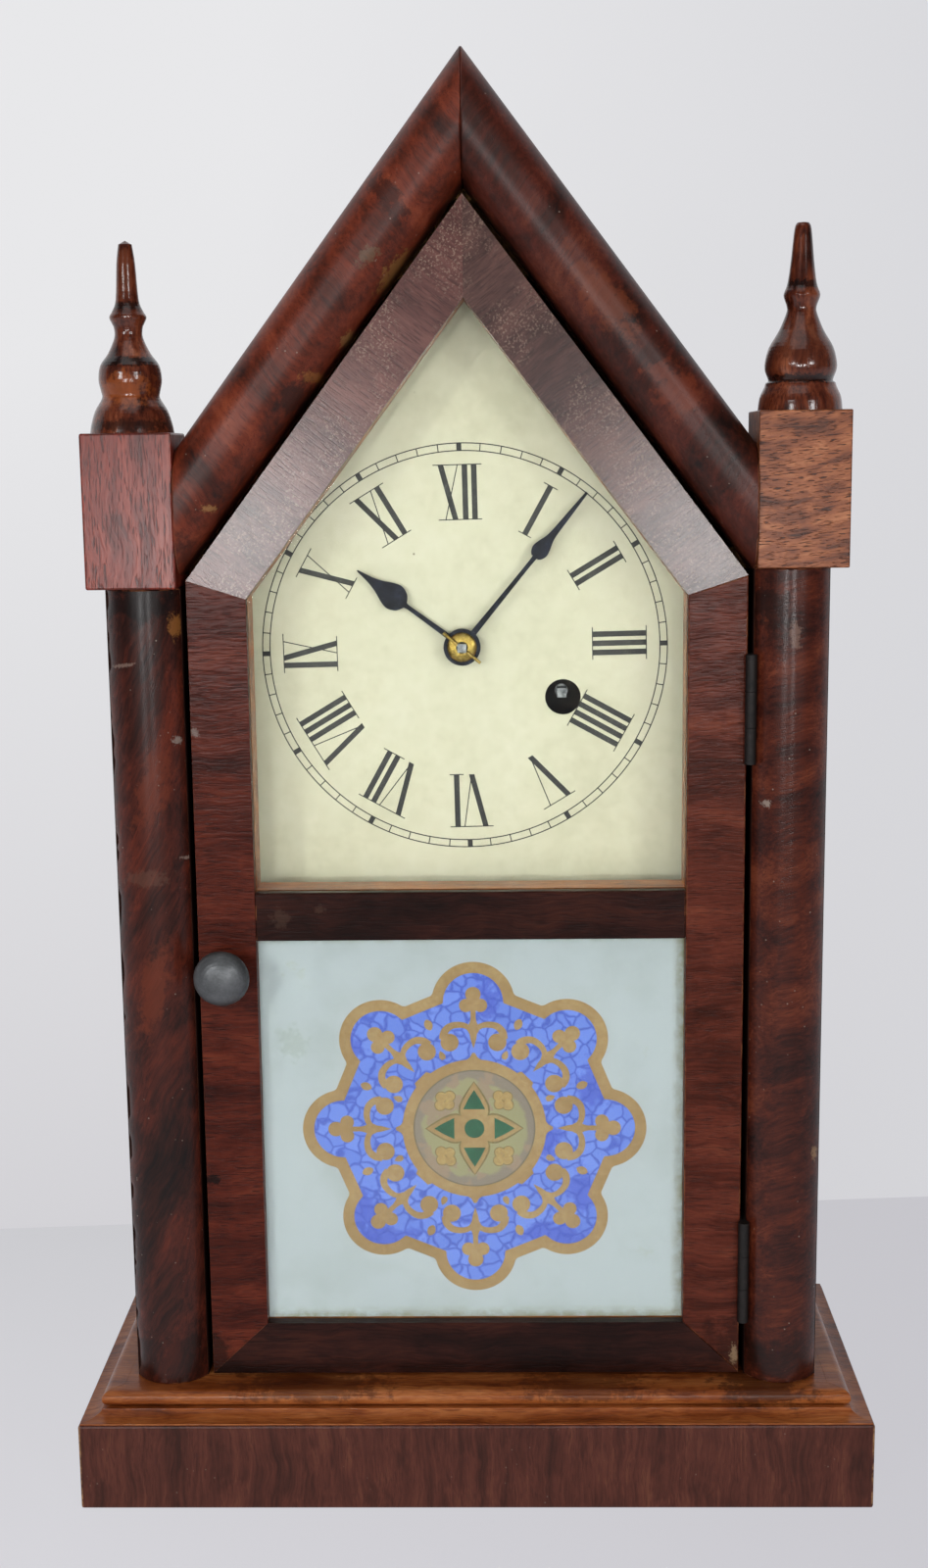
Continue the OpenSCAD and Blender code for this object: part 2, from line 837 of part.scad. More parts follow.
// Domed knob on a slim neck, its spindle passing through the stile
module door_knob() {
    dome = [for (t = [0 : 9 : 90]) [knob_r * sin(t), knob_l - 5.5 * (1 - cos(t))]];
    color(steel) translate([knob_x, 0, knob_z]) {
        translate([0, door_y - 0.1, 0]) rotate([90, 0, 0]) rotate_extrude($fn = 64) polygon(concat(
            [[0, 0], [6, 0], [6, 1.2], [4, 2.2], [3.6, knob_l - 9.5], [knob_r - 1, knob_l - 7]],
            [for (i = [len(dome) - 1 : -1 : 0]) dome[i]]
        ));
        bar(spindle_r, door_y - 1, tongue_y + tongue_t);
    }
}

module latch_tongue() {
    w = spindle_r + 0.6;
    color(brass) translate([knob_x, 0, knob_z]) difference() {
        slab(concat(
            [for (t = [180 : 20 : 360]) polar(w, t)],
            [[w, tongue_l - 2], [w - 1.6, tongue_l], [1.6 - w, tongue_l], [-w, tongue_l - 2]]
        ), tongue_y, tongue_y + tongue_t);
        bar(spindle_r, tongue_y - 1, tongue_y + tongue_t + 1);
    }
}

// Movement frame

plate_outline = [
    [-plate_left, -plate_low],
    [plate_right, -plate_low],
    [plate_right, plate_high - notch_h],
    [plate_right - notch_w, plate_high],
    [10 - plate_left, plate_high],
    [-plate_left, plate_high - 12]
];

module plate(y) {
    difference() {
        slab(plate_outline, y, y + plate_t);
        for (a = [[108, 124], [196, 226], [14, 48]])
            slab(sector(window_in, window_out, a[0], a[1]), y - 1, y + plate_t + 1);
    }
}

// The front plate carries the studs of the minute wheel and the verge
module front_plate() {
    color(brass) at_dial() {
        difference() {
            plate(plate_y);
            bar(centre_r + run_gap, plate_y - 1, inner_y + 1);
            bar(wind_r + run_gap, plate_y - 1, inner_y + 1, wind_at);
            bar(pivot_r + run_gap, plate_y - 1, inner_y + 1, third_at);
            bar(arbor_r + run_gap, plate_y - 1, inner_y + 1, escape_at);
            for (p = pillars) bar(pillar_r - 1, plate_y - 1, inner_y + 1, p);
        }
        bar(stud_r, hour_y - 1.6, inner_y, minute_at_stud);
        bar(stud_r + 0.8, hour_y - 1.6, hour_y - 0.8, minute_at_stud);
        bar(stud_r, crutch_y - 1.2, inner_y, verge_at);
        bar(stud_r + 0.8, crutch_y - 1.4, crutch_y - 0.6, verge_at);
    }
}

module back_plate() {
    color(brass) at_dial() difference() {
        plate(rear_y);
        bar(pivot_r * 2 + run_gap, rear_y - 1, rear_back_y + 1);
        bar(wind_r + run_gap, rear_y - 1, rear_back_y + 1, wind_at);
        bar(pivot_r + run_gap, rear_y - 1, rear_back_y + 1, third_at);
        bar(pivot_r + run_gap, rear_y - 1, rear_back_y + 1, escape_at);
        for (p = pillars) bar(pillar_r - 1, rear_y - 1, rear_back_y + 1, p);
        for (p = feet) bar(screw_r, rear_y - 1, rear_back_y + 1, p);
    }
}

spring_end_r = spring_in_r + spring_pitch * spring_turns;
spring_post_r = 1.8;
spring_end_at = -60;
spring_post_at = wind_at + polar(spring_end_r + spring_t + spring_post_r + 0.1, spring_end_at);

// Four pillars with riveted ends, and the post that the mainspring hooks on
module movement_pillars() {
    color(steel) at_dial() {
        for (p = pillars) {
            bar(pillar_r, inner_y, rear_y, p);
            bar(pillar_r - 1, plate_y - 0.4, rear_back_y + 0.4, p);
        }
        bar(spring_post_r, spring_y - 0.5, rear_y, spring_post_at);
    }
}

module movement_feet() {
    color(pine) at_dial() difference() {
        for (p = feet) bar(foot_r, rear_back_y, board_y, p);
        for (p = feet) bar(screw_r, rear_back_y - 1, board_y + 1, p);
    }
}

module movement_screws() {
    color(steel) at_dial() for (p = feet) difference() {
        union() {
            bar(screw_r * 2, rear_y - 1.6, rear_y, p);
            bar(screw_r, rear_y - 0.8, board_y + screw_in, p);
        }
        translate([p[0], rear_y - 1.6, p[1]]) cube([0.7, 1, 6 * screw_r], center = true);
    }
}

// Open mainspring as one spiral strip, standing still around its arbor
module mainspring() {
    steps = 20;
    last = spring_turns * steps;
    function at_turn(k, side) =
        polar(spring_in_r + spring_pitch * k / steps + side * spring_t,
            spring_end_at + (k - last) * 360 / steps);
    echo(spring_gap = spring_pitch * cos(180 / steps) - spring_t);
    color(steel) at(wind_at) slab(concat(
        [for (k = [0 : last]) at_turn(k, 0)],
        [for (k = [last : -1 : 0]) at_turn(k, 1)]
    ), spring_y, spring_y + spring_w);
}

suspension_slot = 1;
suspension_strip = 0.2;
post_r = 2.6;

module suspension_post() {
    color(brass) at(suspend_at) difference() {
        bar(post_r, rod_y - 2.5, plate_y, [0, post_r]);
        block([-suspension_slot / 2, suspension_slot / 2], [rod_y - 3, rod_y + 2], [-1, 2 * post_r + 1]);
    }
}

// Motion work and hands

square = 1.6;
square_y = minute_hand_y + 1.25;

module centre_arbor() {
    color(steel) at_dial() difference() {
        union() {
            bar(centre_r, square_y, rear_y - 0.3);
            bar(pivot_r * 2, rear_y - 0.5, rear_back_y);
            intersection() {
                bar(centre_r, arbor_tip_y, square_y);
                block([-square, square], [arbor_tip_y, square_y], [-square, square]);
            }
            slab(toothed(cannon_teeth, motion_m, 0), minute_y - 0.5, plate_y - 0.4);
        }
        rotate([0, minute_at, 0]) translate([0, hand_pin_y, 0]) rotate([0, 90, 0])
            cylinder(r = hand_pin_r, h = 4 * centre_r, center = true);
    }
}

// Half outline of a hand: distance from the centre, then half width
module hand(half, y0, y1) {
    body = smooth(half, 4);
    slab(concat(
        [for (p = body) [p[1], p[0]]],
        [for (i = [len(body) - 1 : -1 : 0]) [-body[i][1], body[i][0]]]
    ), y0, y1);
}

module square_hole(y0, y1) {
    intersection() {
        bar(centre_r, y0, y1);
        block([-square, square], [y0, y1], [-square, square]);
    }
}

module minute_hand() {
    color(blued) at_dial() rotate([0, minute_at, 0]) difference() {
        union() {
            hand([
                [boss_r - 1, 1.1], [minute_l * 0.3, 0.9], [minute_l * 0.56, 0.8], [minute_l * 0.583, 1.4],
                [minute_l * 0.596, 2.3], [minute_l * 0.626, 3.05], [minute_l * 0.665, 2.5],
                [minute_l * 0.7, 1.65], [minute_l * 0.744, 1.2], [minute_l * 0.83, 0.95], [minute_l, 0.45]
            ], minute_hand_y, minute_hand_y + hand_t);
            bar(boss_r, minute_hand_y - 0.4, minute_hand_y + 1.2);
        }
        rotate([0, -minute_at, 0]) square_hole(minute_hand_y - 1, minute_hand_y + 2);
    }
}

module hand_washer() {
    dome = [for (t = [0 : 15 : 90]) [centre_r + (washer_r - centre_r) * sin(t), 1.1 * cos(t)]];
    color(brass) at_dial() translate([0, minute_hand_y - 0.4, 0]) rotate([90, 0, 0])
        rotate_extrude() polygon(concat([[centre_r, 0], [washer_r, 0]], [for (i = [5 : -1 : 0]) dome[i]]));
}

module hand_pin() {
    color(brass) at_dial() rotate([0, minute_at, 0]) translate([0, hand_pin_y, 0]) rotate([0, 90, 0])
        cylinder(r = hand_pin_r, h = hand_pin_l, center = true);
}

module minute_wheel() {
    pinion_y = hour_y - 0.6;
    color(brass) at(minute_at_stud) difference() {
        union() {
            slab(toothed(minute_teeth, motion_m, 135), minute_y, minute_y + wheel_t);
            slab(toothed(pinion_teeth, hour_m, 135), pinion_y, minute_y + 0.5);
        }
        bar(stud_r + run_gap, pinion_y - 1, minute_y + wheel_t + 1);
    }
}

module hour_wheel() {
    color(brass) at_dial() difference() {
        union() {
            slab(toothed(hour_teeth, hour_m, -45 + 180 / hour_teeth), hour_y, hour_y + wheel_t);
            bar(pipe_r + 1.6, hour_y, minute_y - 0.8);
            bar(pipe_r, hour_hand_y - 0.2, minute_y - 0.8);
        }
        bar(centre_r + run_gap, hour_hand_y - 2, minute_y);
        for (a = [0 : 90 : 270]) slab(sector(6, 11.5, a + 12, a + 78), hour_y - 1, hour_y + wheel_t + 1);
    }
}

module hour_hand() {
    color(blued) at_dial() rotate([0, hour_at, 0]) difference() {
        union() {
            hand([
                [pipe_r + 0.8, 1.0], [hour_l * 0.4, 0.8], [hour_l * 0.53, 0.85], [hour_l * 0.552, 1.8],
                [hour_l * 0.582, 3.6], [hour_l * 0.647, 4.8], [hour_l * 0.711, 4.1],
                [hour_l * 0.791, 2.4], [hour_l * 0.862, 1.35], [hour_l * 0.918, 0.85], [hour_l, 0.25]
            ], hour_hand_y, hour_hand_y + hand_t);
            bar(pipe_r + 2.2, hour_hand_y, hour_hand_y + 1.4);
        }
        bar(pipe_r, hour_hand_y - 1, hour_hand_y + 3);
    }
}

// Train

// Wheel with arms between its hub and its rim
module armed_wheel(n, m, phase, y0, hub, arms) {
    rim = m * (n / 2 - 1.1) - 2.4;
    step = 360 / arms;
    difference() {
        slab(toothed(n, m, phase), y0, y0 + wheel_t);
        for (i = [0 : arms - 1])
            slab(sector(hub, rim, i * step + 9, (i + 1) * step - 9), y0 - 1, y0 + wheel_t + 1);
    }
}

// Pinion of round bars between two discs
module lantern(n, m, bar_r, phase, y0, y1) {
    disc = 0.8;
    r = n * m / 2;
    bar(r + bar_r + 0.3, y0, y0 + disc);
    bar(r + bar_r + 0.3, y1 - disc, y1);
    for (i = [0 : n - 1]) bar(bar_r, y0 + disc / 2, y1 - disc / 2, polar(r, phase + i * 360 / n));
}

function angle(p) = atan2(p[1], p[0]);

module centre_wheel() {
    color(brass) at_dial() difference() {
        union() {
            armed_wheel(centre_teeth, centre_m, angle(third_at) + 180 / centre_teeth, centre_y, 8, 5);
            bar(centre_r + 0.8, inner_y + 0.4, great_y + 3.4);
            lantern(centre_bars, great_m, 0.55, angle(wind_at), great_y - 1.8, great_y + 3.2);
        }
        bar(centre_r + run_gap, inner_y, great_y + 5);
    }
}

click_at = polar(12.5, 48);

module great_wheel() {
    color(brass) at(wind_at) difference() {
        union() {
            armed_wheel(great_teeth, great_m, angle(-wind_at) + 180 / great_teeth, great_y, 17, 4);
            bar(1.1, great_y, ratchet_y + wheel_t + 0.4, click_at);
        }
        bar(wind_r + run_gap, great_y - 1, great_y + wheel_t + 1);
    }
}

// Pawl on its rivet, with a bent spring behind it
module click() {
    color(steel) at(wind_at) {
        difference() {
            slab([
                polar(7.5, 3), polar(9.1, 14), polar(10.6, 42), polar(10.8, 54), polar(13.6, 55),
                polar(14.4, 46), polar(12.4, 30), polar(9.2, 2)
            ], ratchet_y, ratchet_y + wheel_t);
            bar(1.1, ratchet_y - 1, ratchet_y + wheel_t + 1, click_at);
        }
        slab(sector(12.9, 13.4, -64, 26), great_y + wheel_t + 0.3, ratchet_y + wheel_t);
        slab(sector(12.6, 14.6, -72, -60), great_y + wheel_t, ratchet_y + wheel_t);
    }
}

module winding_arbor() {
    side = wind_r * sqrt(2);
    tip_y = dial_y + 12;
    color(steel) at(wind_at) {
        bar(wind_r, plate_y - 1, rear_back_y);
        block([-side / 2, side / 2], [tip_y, plate_y - 0.9], [-side / 2, side / 2]);
        difference() {
            slab(saw(24, 8.5, 7, 0.1), ratchet_y, ratchet_y + wheel_t);
            bar(wind_r - 0.2, ratchet_y - 1, ratchet_y + wheel_t + 1);
        }
    }
}

module third_wheel() {
    to_escape = angle(escape_at - third_at);
    color(brass) at(third_at) {
        bar(pivot_r, plate_y + 0.2, rear_back_y - 0.2);
        bar(arbor_r, inner_y + 0.3, rear_y - 0.3);
        lantern(small_bars, centre_m, 0.42, angle(-third_at), centre_y - 1.9, centre_y + 3.2);
        armed_wheel(third_teeth, third_m, to_escape + 180 / third_teeth, third_y, 5, 4);
    }
}

module escape_wheel() {
    to_third = angle(third_at - escape_at);
    tooth = 2.4;
    root = escape_r - tooth;
    hub = 0.36 * root;
    rim = 0.85 * root;
    color(brass) at(escape_at) {
        bar(arbor_r, escape_y - 0.3, rear_y - 0.3);
        bar(pivot_r, rear_y - 0.5, rear_back_y - 0.2);
        lantern(small_bars, third_m, 0.36, to_third, third_y - 1.8, third_y + 3.1);
        difference() {
            slab(saw(escape_teeth, escape_r, root, 0.25), escape_y, escape_y + wheel_t);
            for (a = [0 : 90 : 270])
                slab(sector(hub, rim, a + 12, a + 78), escape_y - 1, escape_y + wheel_t + 1);
        }
    }
}

// Strip pallets and the crutch wire, turning on a stud above the escape wheel
module verge() {
    drop = verge_at[1] - escape_at[1];
    reach = escape_r + 1.5;
    hub_r = 2;
    wire = 1.1;
    side = [for (a = [54, 50]) polar(reach, 90 - a) - [0, drop]];
    arm = [
        [hub_r, hub_r], [0.7 * reach, -0.17 * reach], [side[0][0] + 0.5, side[0][1] + 0.2],
        side[0], side[1], [0.64 * reach, -0.22 * reach], [hub_r - 0.5, -0.6]
    ];
    fork_z = fork_up - verge_at[1];
    fork_w = rod_r + 0.3;
    color(steel) at(verge_at) difference() {
        union() {
            bar(stud_r + 1.2, crutch_y - 0.3, plate_y - 0.5);
            slab(concat(arm, [for (i = [len(arm) - 1 : -1 : 0]) [-arm[i][0], arm[i][1]]]),
                escape_y - 0.4, escape_y + wheel_t + 0.4);
            block([-wire / 2, wire / 2], [crutch_y, crutch_y + wire], [fork_z, -1]);
            block([-fork_w - wire, fork_w + wire], [crutch_y, crutch_y + wire], [fork_z - wire, fork_z]);
            for (s = [-1, 1]) block(
                [s * (fork_w + wire / 2) - wire / 2, s * (fork_w + wire / 2) + wire / 2],
                [rod_y - 1.4, crutch_y + wire], [fork_z - wire, fork_z]
            );
        }
        bar(stud_r + run_gap, crutch_y - 1, plate_y);
    }
}

bob_z = -pendulum_l;
nut_r = 3;
nut_h = 3;
rod_end = bob_z - bob_r - nut_h - 2;

// Suspension strip at the top, the wire rod, and the rating nut under the bob
module pendulum_rod() {
    top = 2 * post_r + 0.4;
    color(brass) at(suspend_at) {
        block([-suspension_strip / 2, suspension_strip / 2], [rod_y - 1.5, rod_y + 1.5], [-strip_l, top]);
        block([-1, 1], [rod_y - 1.9, rod_y + 1.9], [top - 0.1, top + 1.4]);
        block([-0.9, 0.9], [rod_y - 1.6, rod_y + 1.6], [-strip_l - clip_l + 0.5, 0.5 - strip_l]);
        translate([0, rod_y, rod_end]) cylinder(r = rod_r, h = -rod_end - strip_l - clip_l + 1.5);
        translate([0, rod_y, bob_z - bob_r - nut_h]) cylinder(r = nut_r, h = nut_h);
    }
}

// Lens-shaped bob with a hole for the rod
module pendulum_bob() {
    rim = 1.2;
    face = [for (t = [0 : 10 : 90]) [bob_r * sin(t), rim / 2 + (bob_t - rim) / 2 * cos(t)]];
    color(brass) at(suspend_at + [0, bob_z]) difference() {
        translate([0, rod_y, 0]) rotate([90, 0, 0]) rotate_extrude($fn = 64)
            polygon(concat(face, [for (i = [len(face) - 1 : -1 : 0]) [face[i][0], -face[i][1]]]));
        translate([0, rod_y, -2 * bob_r]) cylinder(r = rod_r + 0.02, h = 4 * bob_r);
    }
}

plinth_front();
plinth_sides();
plinth_back();
glue_blocks();
base_board();
base_moulding_front();
base_moulding_left();
base_moulding_right();
side_boards();
front_posts();
column_left();
column_right();
block_left();
block_right();
finial_left();
finial_right();
roof_boards();
gable_moulding_left();
gable_moulding_right();
back_board();
dial_rails();
dial();
dial_pins();
case_hinge_leaves();
door_stile_left();
door_stile_right();
door_rafter_left();
door_rafter_right();
door_bottom_rail();
door_cross_rail();
upper_glass();
tablet_glass();
glazing_strips();
door_hinge_leaves();
door_knob();
latch_tongue();
front_plate();
back_plate();
movement_pillars();
movement_feet();
movement_screws();
mainspring();
suspension_post();
centre_arbor();
minute_hand();
hand_washer();
hand_pin();
minute_wheel();
hour_wheel();
hour_hand();
centre_wheel();
great_wheel();
click();
winding_arbor();
third_wheel();
escape_wheel();
verge();
pendulum_rod();
pendulum_bob();
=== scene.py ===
import bpy, bmesh, json, math
from mathutils import Matrix, Quaternion, Vector, noise


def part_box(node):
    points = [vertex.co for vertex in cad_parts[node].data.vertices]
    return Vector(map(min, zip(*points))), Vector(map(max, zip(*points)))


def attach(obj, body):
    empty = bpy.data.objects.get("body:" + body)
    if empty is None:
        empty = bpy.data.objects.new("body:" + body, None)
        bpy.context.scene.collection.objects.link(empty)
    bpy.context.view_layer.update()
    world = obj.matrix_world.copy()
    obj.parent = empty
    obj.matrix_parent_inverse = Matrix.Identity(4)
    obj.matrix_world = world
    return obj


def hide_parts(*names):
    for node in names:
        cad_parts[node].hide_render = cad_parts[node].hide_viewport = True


# Steeple clock, dressed around its CAD frame. Front faces -Y, Z is up, lengths in metres
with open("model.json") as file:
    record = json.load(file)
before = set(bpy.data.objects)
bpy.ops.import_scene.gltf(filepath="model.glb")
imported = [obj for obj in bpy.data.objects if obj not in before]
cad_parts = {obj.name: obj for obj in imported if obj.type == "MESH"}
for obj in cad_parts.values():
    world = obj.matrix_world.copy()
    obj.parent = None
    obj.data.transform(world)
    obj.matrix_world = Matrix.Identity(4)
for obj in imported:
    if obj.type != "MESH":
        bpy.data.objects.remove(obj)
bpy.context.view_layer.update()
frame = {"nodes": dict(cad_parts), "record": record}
nodes = frame["nodes"]
scene = bpy.context.scene
mm = 0.001
bodyOf = {node: body for body, group in frame["record"]["behaviour"]["bodies"].items() for node in group}


def toLinear(hexCode, alpha=1.0):
    parts = [int(hexCode[i:i + 2], 16) / 255 for i in (1, 3, 5)]
    return [p / 12.92 if p <= 0.04045 else ((p + 0.055) / 1.055) ** 2.4 for p in parts] + [alpha]


# One node with its settings, its inputs filled or linked; gives back one output
def addNode(tree, kind, inputs=None, out=0, stops=None, **settings):
    node = tree.nodes.new(kind)
    for name, value in settings.items():
        setattr(node, name, value)
    if stops:
        ramp = node.color_ramp.elements
        ramp[0].position, ramp[0].color = stops[0]
        ramp[1].position, ramp[1].color = stops[-1]
        for place, shade in stops[1:-1]:
            ramp.new(place).color = shade
    for name, value in (inputs or {}).items():
        if isinstance(value, bpy.types.NodeSocket):
            tree.links.new(value, node.inputs[name])
        else:
            node.inputs[name].default_value = value
    return node.outputs[out] if node.outputs else node


def startMaterial(name):
    material = bpy.data.materials.new(name)
    material.use_nodes = True
    material.node_tree.nodes.clear()
    return material, material.node_tree, addNode(material.node_tree, "ShaderNodeTexCoord", out="Object")


def closeMaterial(tree, inputs):
    shader = addNode(tree, "ShaderNodeBsdfPrincipled", inputs)
    addNode(tree, "ShaderNodeOutputMaterial", {"Surface": shader})


def noiseAt(tree, position, size, detail=3.0, rough=0.55):
    return addNode(tree, "ShaderNodeTexNoise", {
        "Vector": position, "Scale": 1 / (size * mm), "Detail": detail, "Roughness": rough})


# A grey value turned into a mask between two of its levels
def mask(tree, value, low, high, top=1.0):
    return addNode(tree, "ShaderNodeMapRange", {0: value, 1: low, 2: high, 3: 0.0, 4: top})


def blendColours(tree, share, first, second):
    return addNode(tree, "ShaderNodeMix", {0: share, 6: first, 7: second}, out=2, data_type="RGBA")


# The noise that frays a mark's edge, the levels between which the mark fades out, and a scale along Y
# that keeps depth out of the measure
markEdge = {"fray": 3.4, "outside": 2.85, "inside": 2.35, "alongY": 9}


# Mask of one mark with a frayed edge: its centre, half width, half height in mm, and its turn
def markAt(tree, position, x, z, wide, tall, turn=0, top=1.0):
    laid = addNode(tree, "ShaderNodeMapping", {
        "Vector": position, "Location": (x * mm, 0, z * mm), "Rotation": (0, math.radians(turn), 0),
        "Scale": (wide * mm, markEdge["alongY"], tall * mm)}, vector_type="TEXTURE")
    reach = addNode(tree, "ShaderNodeVectorMath", {0: laid}, out=1, operation="LENGTH")
    frayed = noiseAt(tree, position, max(1.2, min(wide, tall) * 0.9), 4.0, 0.7)
    reach = addNode(tree, "ShaderNodeMath", {0: frayed, 1: markEdge["fray"], 2: reach},
                    operation="MULTIPLY_ADD")
    return mask(tree, reach, markEdge["outside"], markEdge["inside"], top)


# A bmesh becomes a piece at the origin that rides on a body
def makePiece(name, bm, body, material, replaced=(), smoothAngle=35, normals=True):
    if normals:
        bmesh.ops.recalc_face_normals(bm, faces=bm.faces[:])
    mesh = bpy.data.meshes.new(name)
    bm.to_mesh(mesh)
    bm.free()
    mesh.shade_smooth()
    mesh.set_sharp_from_angle(angle=math.radians(smoothAngle))
    mesh.materials.append(material)
    piece = bpy.data.objects.new(name, mesh)
    scene.collection.objects.link(piece)
    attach(piece, body)
    if replaced:
        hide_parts(*replaced)
    return piece


# Camera at the photograph's place
cameraLook = {"position": (12.4, -700.0, 375.6), "yaw": -1.21, "pitch": 9.75, "roll": 0.68, "lens": 44.22}

yaw, pitch, roll = (math.radians(cameraLook[k]) for k in ("yaw", "pitch", "roll"))
forward = Vector((math.sin(yaw) * math.cos(pitch), math.cos(yaw) * math.cos(pitch), -math.sin(pitch)))
level = Vector((math.cos(yaw), -math.sin(yaw), 0))
downward = forward.cross(level)
across = math.cos(roll) * level + math.sin(roll) * downward
below = -math.sin(roll) * level + math.cos(roll) * downward
cameraData = bpy.data.cameras.new("photoCamera")
cameraData.lens = cameraLook["lens"]
cameraData.sensor_width = 36
cameraData.sensor_fit = "AUTO"
cameraData.clip_start = 0.02
camera = bpy.data.objects.new("photoCamera", cameraData)
camera.matrix_world = Matrix.Translation(Vector(cameraLook["position"]) * mm) @ Matrix(
    (across, -below, -forward)).transposed().to_4x4()
scene.collection.objects.link(camera)
scene.camera = camera
scene.view_settings.view_transform = "Standard"
print("camera placed")


# Floor, backdrop and lights of the studio
studio = {
    # painted shade: floor darker to the back, right and front; wall paler higher up and greyer to the right
    "floor": {"near": "#dcdbe0", "far": "#d2d2d6", "ramp": (-0.10, 0.20), "axis": 1, "plain": 0.90,
              "side": ("#cdccd2", -0.15, 0.25), "front": ("#6a696e", -0.35, -1.1)},
    "wall": {"near": "#d6d5d9", "far": "#eaeaec", "ramp": (0.0, 0.42), "axis": 2, "plain": 0.94,
             "side": ("#d8d8dc", -0.10, 0.30)},
    "floorAt": -0.0002, "wallAt": 0.217, "wallTurn": 4.6, "halfWidth": 3.0,
    "worldStrength": 0.065, "worldColour": "#f4f4f8",
    "lamps": [
        # name, place, aim, width, height, power, lean
        ("keyLeft", (-0.85, -1.55, 0.62), (0, 0, 0.30), 0.26, 0.40, 6.4, 0),
        ("keyRight", (0.85, -1.55, 0.62), (0, 0, 0.30), 0.26, 0.40, 6.3, 0),
        ("overhead", (-0.10, -0.55, 1.35), (0, 0, 0.25), 0.9, 0.7, 1.9, 0),
        # low strips that the door's rafters and the left block mirror towards the camera
        ("sheenLeft", (-0.271, -1.50, 0.281), (-0.06, 0, 0.36), 0.070, 0.22, 2.6, -37.2),
        ("sheenRight", (0.240, -1.50, 0.268), (0.06, 0, 0.36), 0.070, 0.16, 2.4, 37.2),
        ("sheenBlock", (-0.41, -1.50, 0.30), (-0.12, 0, 0.36), 0.10, 0.16, 0.45, 0),
    ],
}


# Matte paper that the camera sees partly as written, so that it stays pale and still takes the shadow
def stagePlane(name, matrix, look):
    material, tree, position = startMaterial(name)
    place = addNode(tree, "ShaderNodeSeparateXYZ", {0: position}, out=look["axis"])
    # painted shade and light: the ramp and the side and front tones make the paper darker or lighter by place
    share = mask(tree, place, *look["ramp"])
    tone = blendColours(tree, share, toLinear(look["near"]), toLinear(look["far"]))
    for key, axis in (("side", 0), ("front", 1)):
        if key in look:
            place = addNode(tree, "ShaderNodeSeparateXYZ", {0: position}, out=axis)
            hexCode, low, high = look[key]
            tone = blendColours(tree, mask(tree, place, low, high), tone, toLinear(hexCode))
    lit = addNode(tree, "ShaderNodeBsdfDiffuse", {"Color": tone})
    plain = addNode(tree, "ShaderNodeEmission", {"Color": tone, "Strength": 1.0})
    seen = addNode(tree, "ShaderNodeLightPath", out="Is Camera Ray")
    for kind in ("Is Glossy Ray", "Is Transmission Ray"):
        other = addNode(tree, "ShaderNodeLightPath", out=kind)
        seen = addNode(tree, "ShaderNodeMath", {0: seen, 1: other}, operation="MAXIMUM")
    plainShare = addNode(tree, "ShaderNodeMath", {0: seen, 1: look["plain"]}, operation="MULTIPLY")
    surface = addNode(tree, "ShaderNodeMixShader", {0: plainShare, 1: lit, 2: plain})
    addNode(tree, "ShaderNodeOutputMaterial", {"Surface": surface})
    bm = bmesh.new()
    bmesh.ops.create_grid(bm, x_segments=1, y_segments=1, size=studio["halfWidth"], matrix=matrix)
    mesh = bpy.data.meshes.new(name)
    bm.to_mesh(mesh)
    bm.free()
    mesh.materials.append(material)
    plane = bpy.data.objects.new(name, mesh)
    scene.collection.objects.link(plane)


stagePlane("floor", Matrix.Translation((0, 0, studio["floorAt"])), studio["floor"])
stagePlane("wall", Matrix.Translation((0, studio["wallAt"], 0)) @ Matrix.Rotation(
    math.radians(studio["wallTurn"]), 4, "Z") @ Matrix.Rotation(math.radians(90), 4, "X"), studio["wall"])

for name, place, aim, width, height, power, lean in studio["lamps"]:
    lampData = bpy.data.lights.new(name, "AREA")
    lampData.shape = "RECTANGLE"
    lampData.size, lampData.size_y, lampData.energy = width, height, power
    lamp = bpy.data.objects.new(name, lampData)
    lamp.location = place
    aimed = (Vector(aim) - Vector(place)).to_track_quat("-Z", "Y")
    lamp.rotation_euler = (aimed @ Quaternion((0, 0, 1), math.radians(lean))).to_euler()
    scene.collection.objects.link(lamp)

world = bpy.data.worlds.new("studioWorld")
world.use_nodes = True
world.node_tree.nodes.clear()
glow = addNode(world.node_tree, "ShaderNodeBackground",
               {"Color": toLinear(studio["worldColour"]), "Strength": studio["worldStrength"]})
addNode(world.node_tree, "ShaderNodeOutputWorld", {"Surface": glow})
scene.world = world
print("stage and lamps placed")
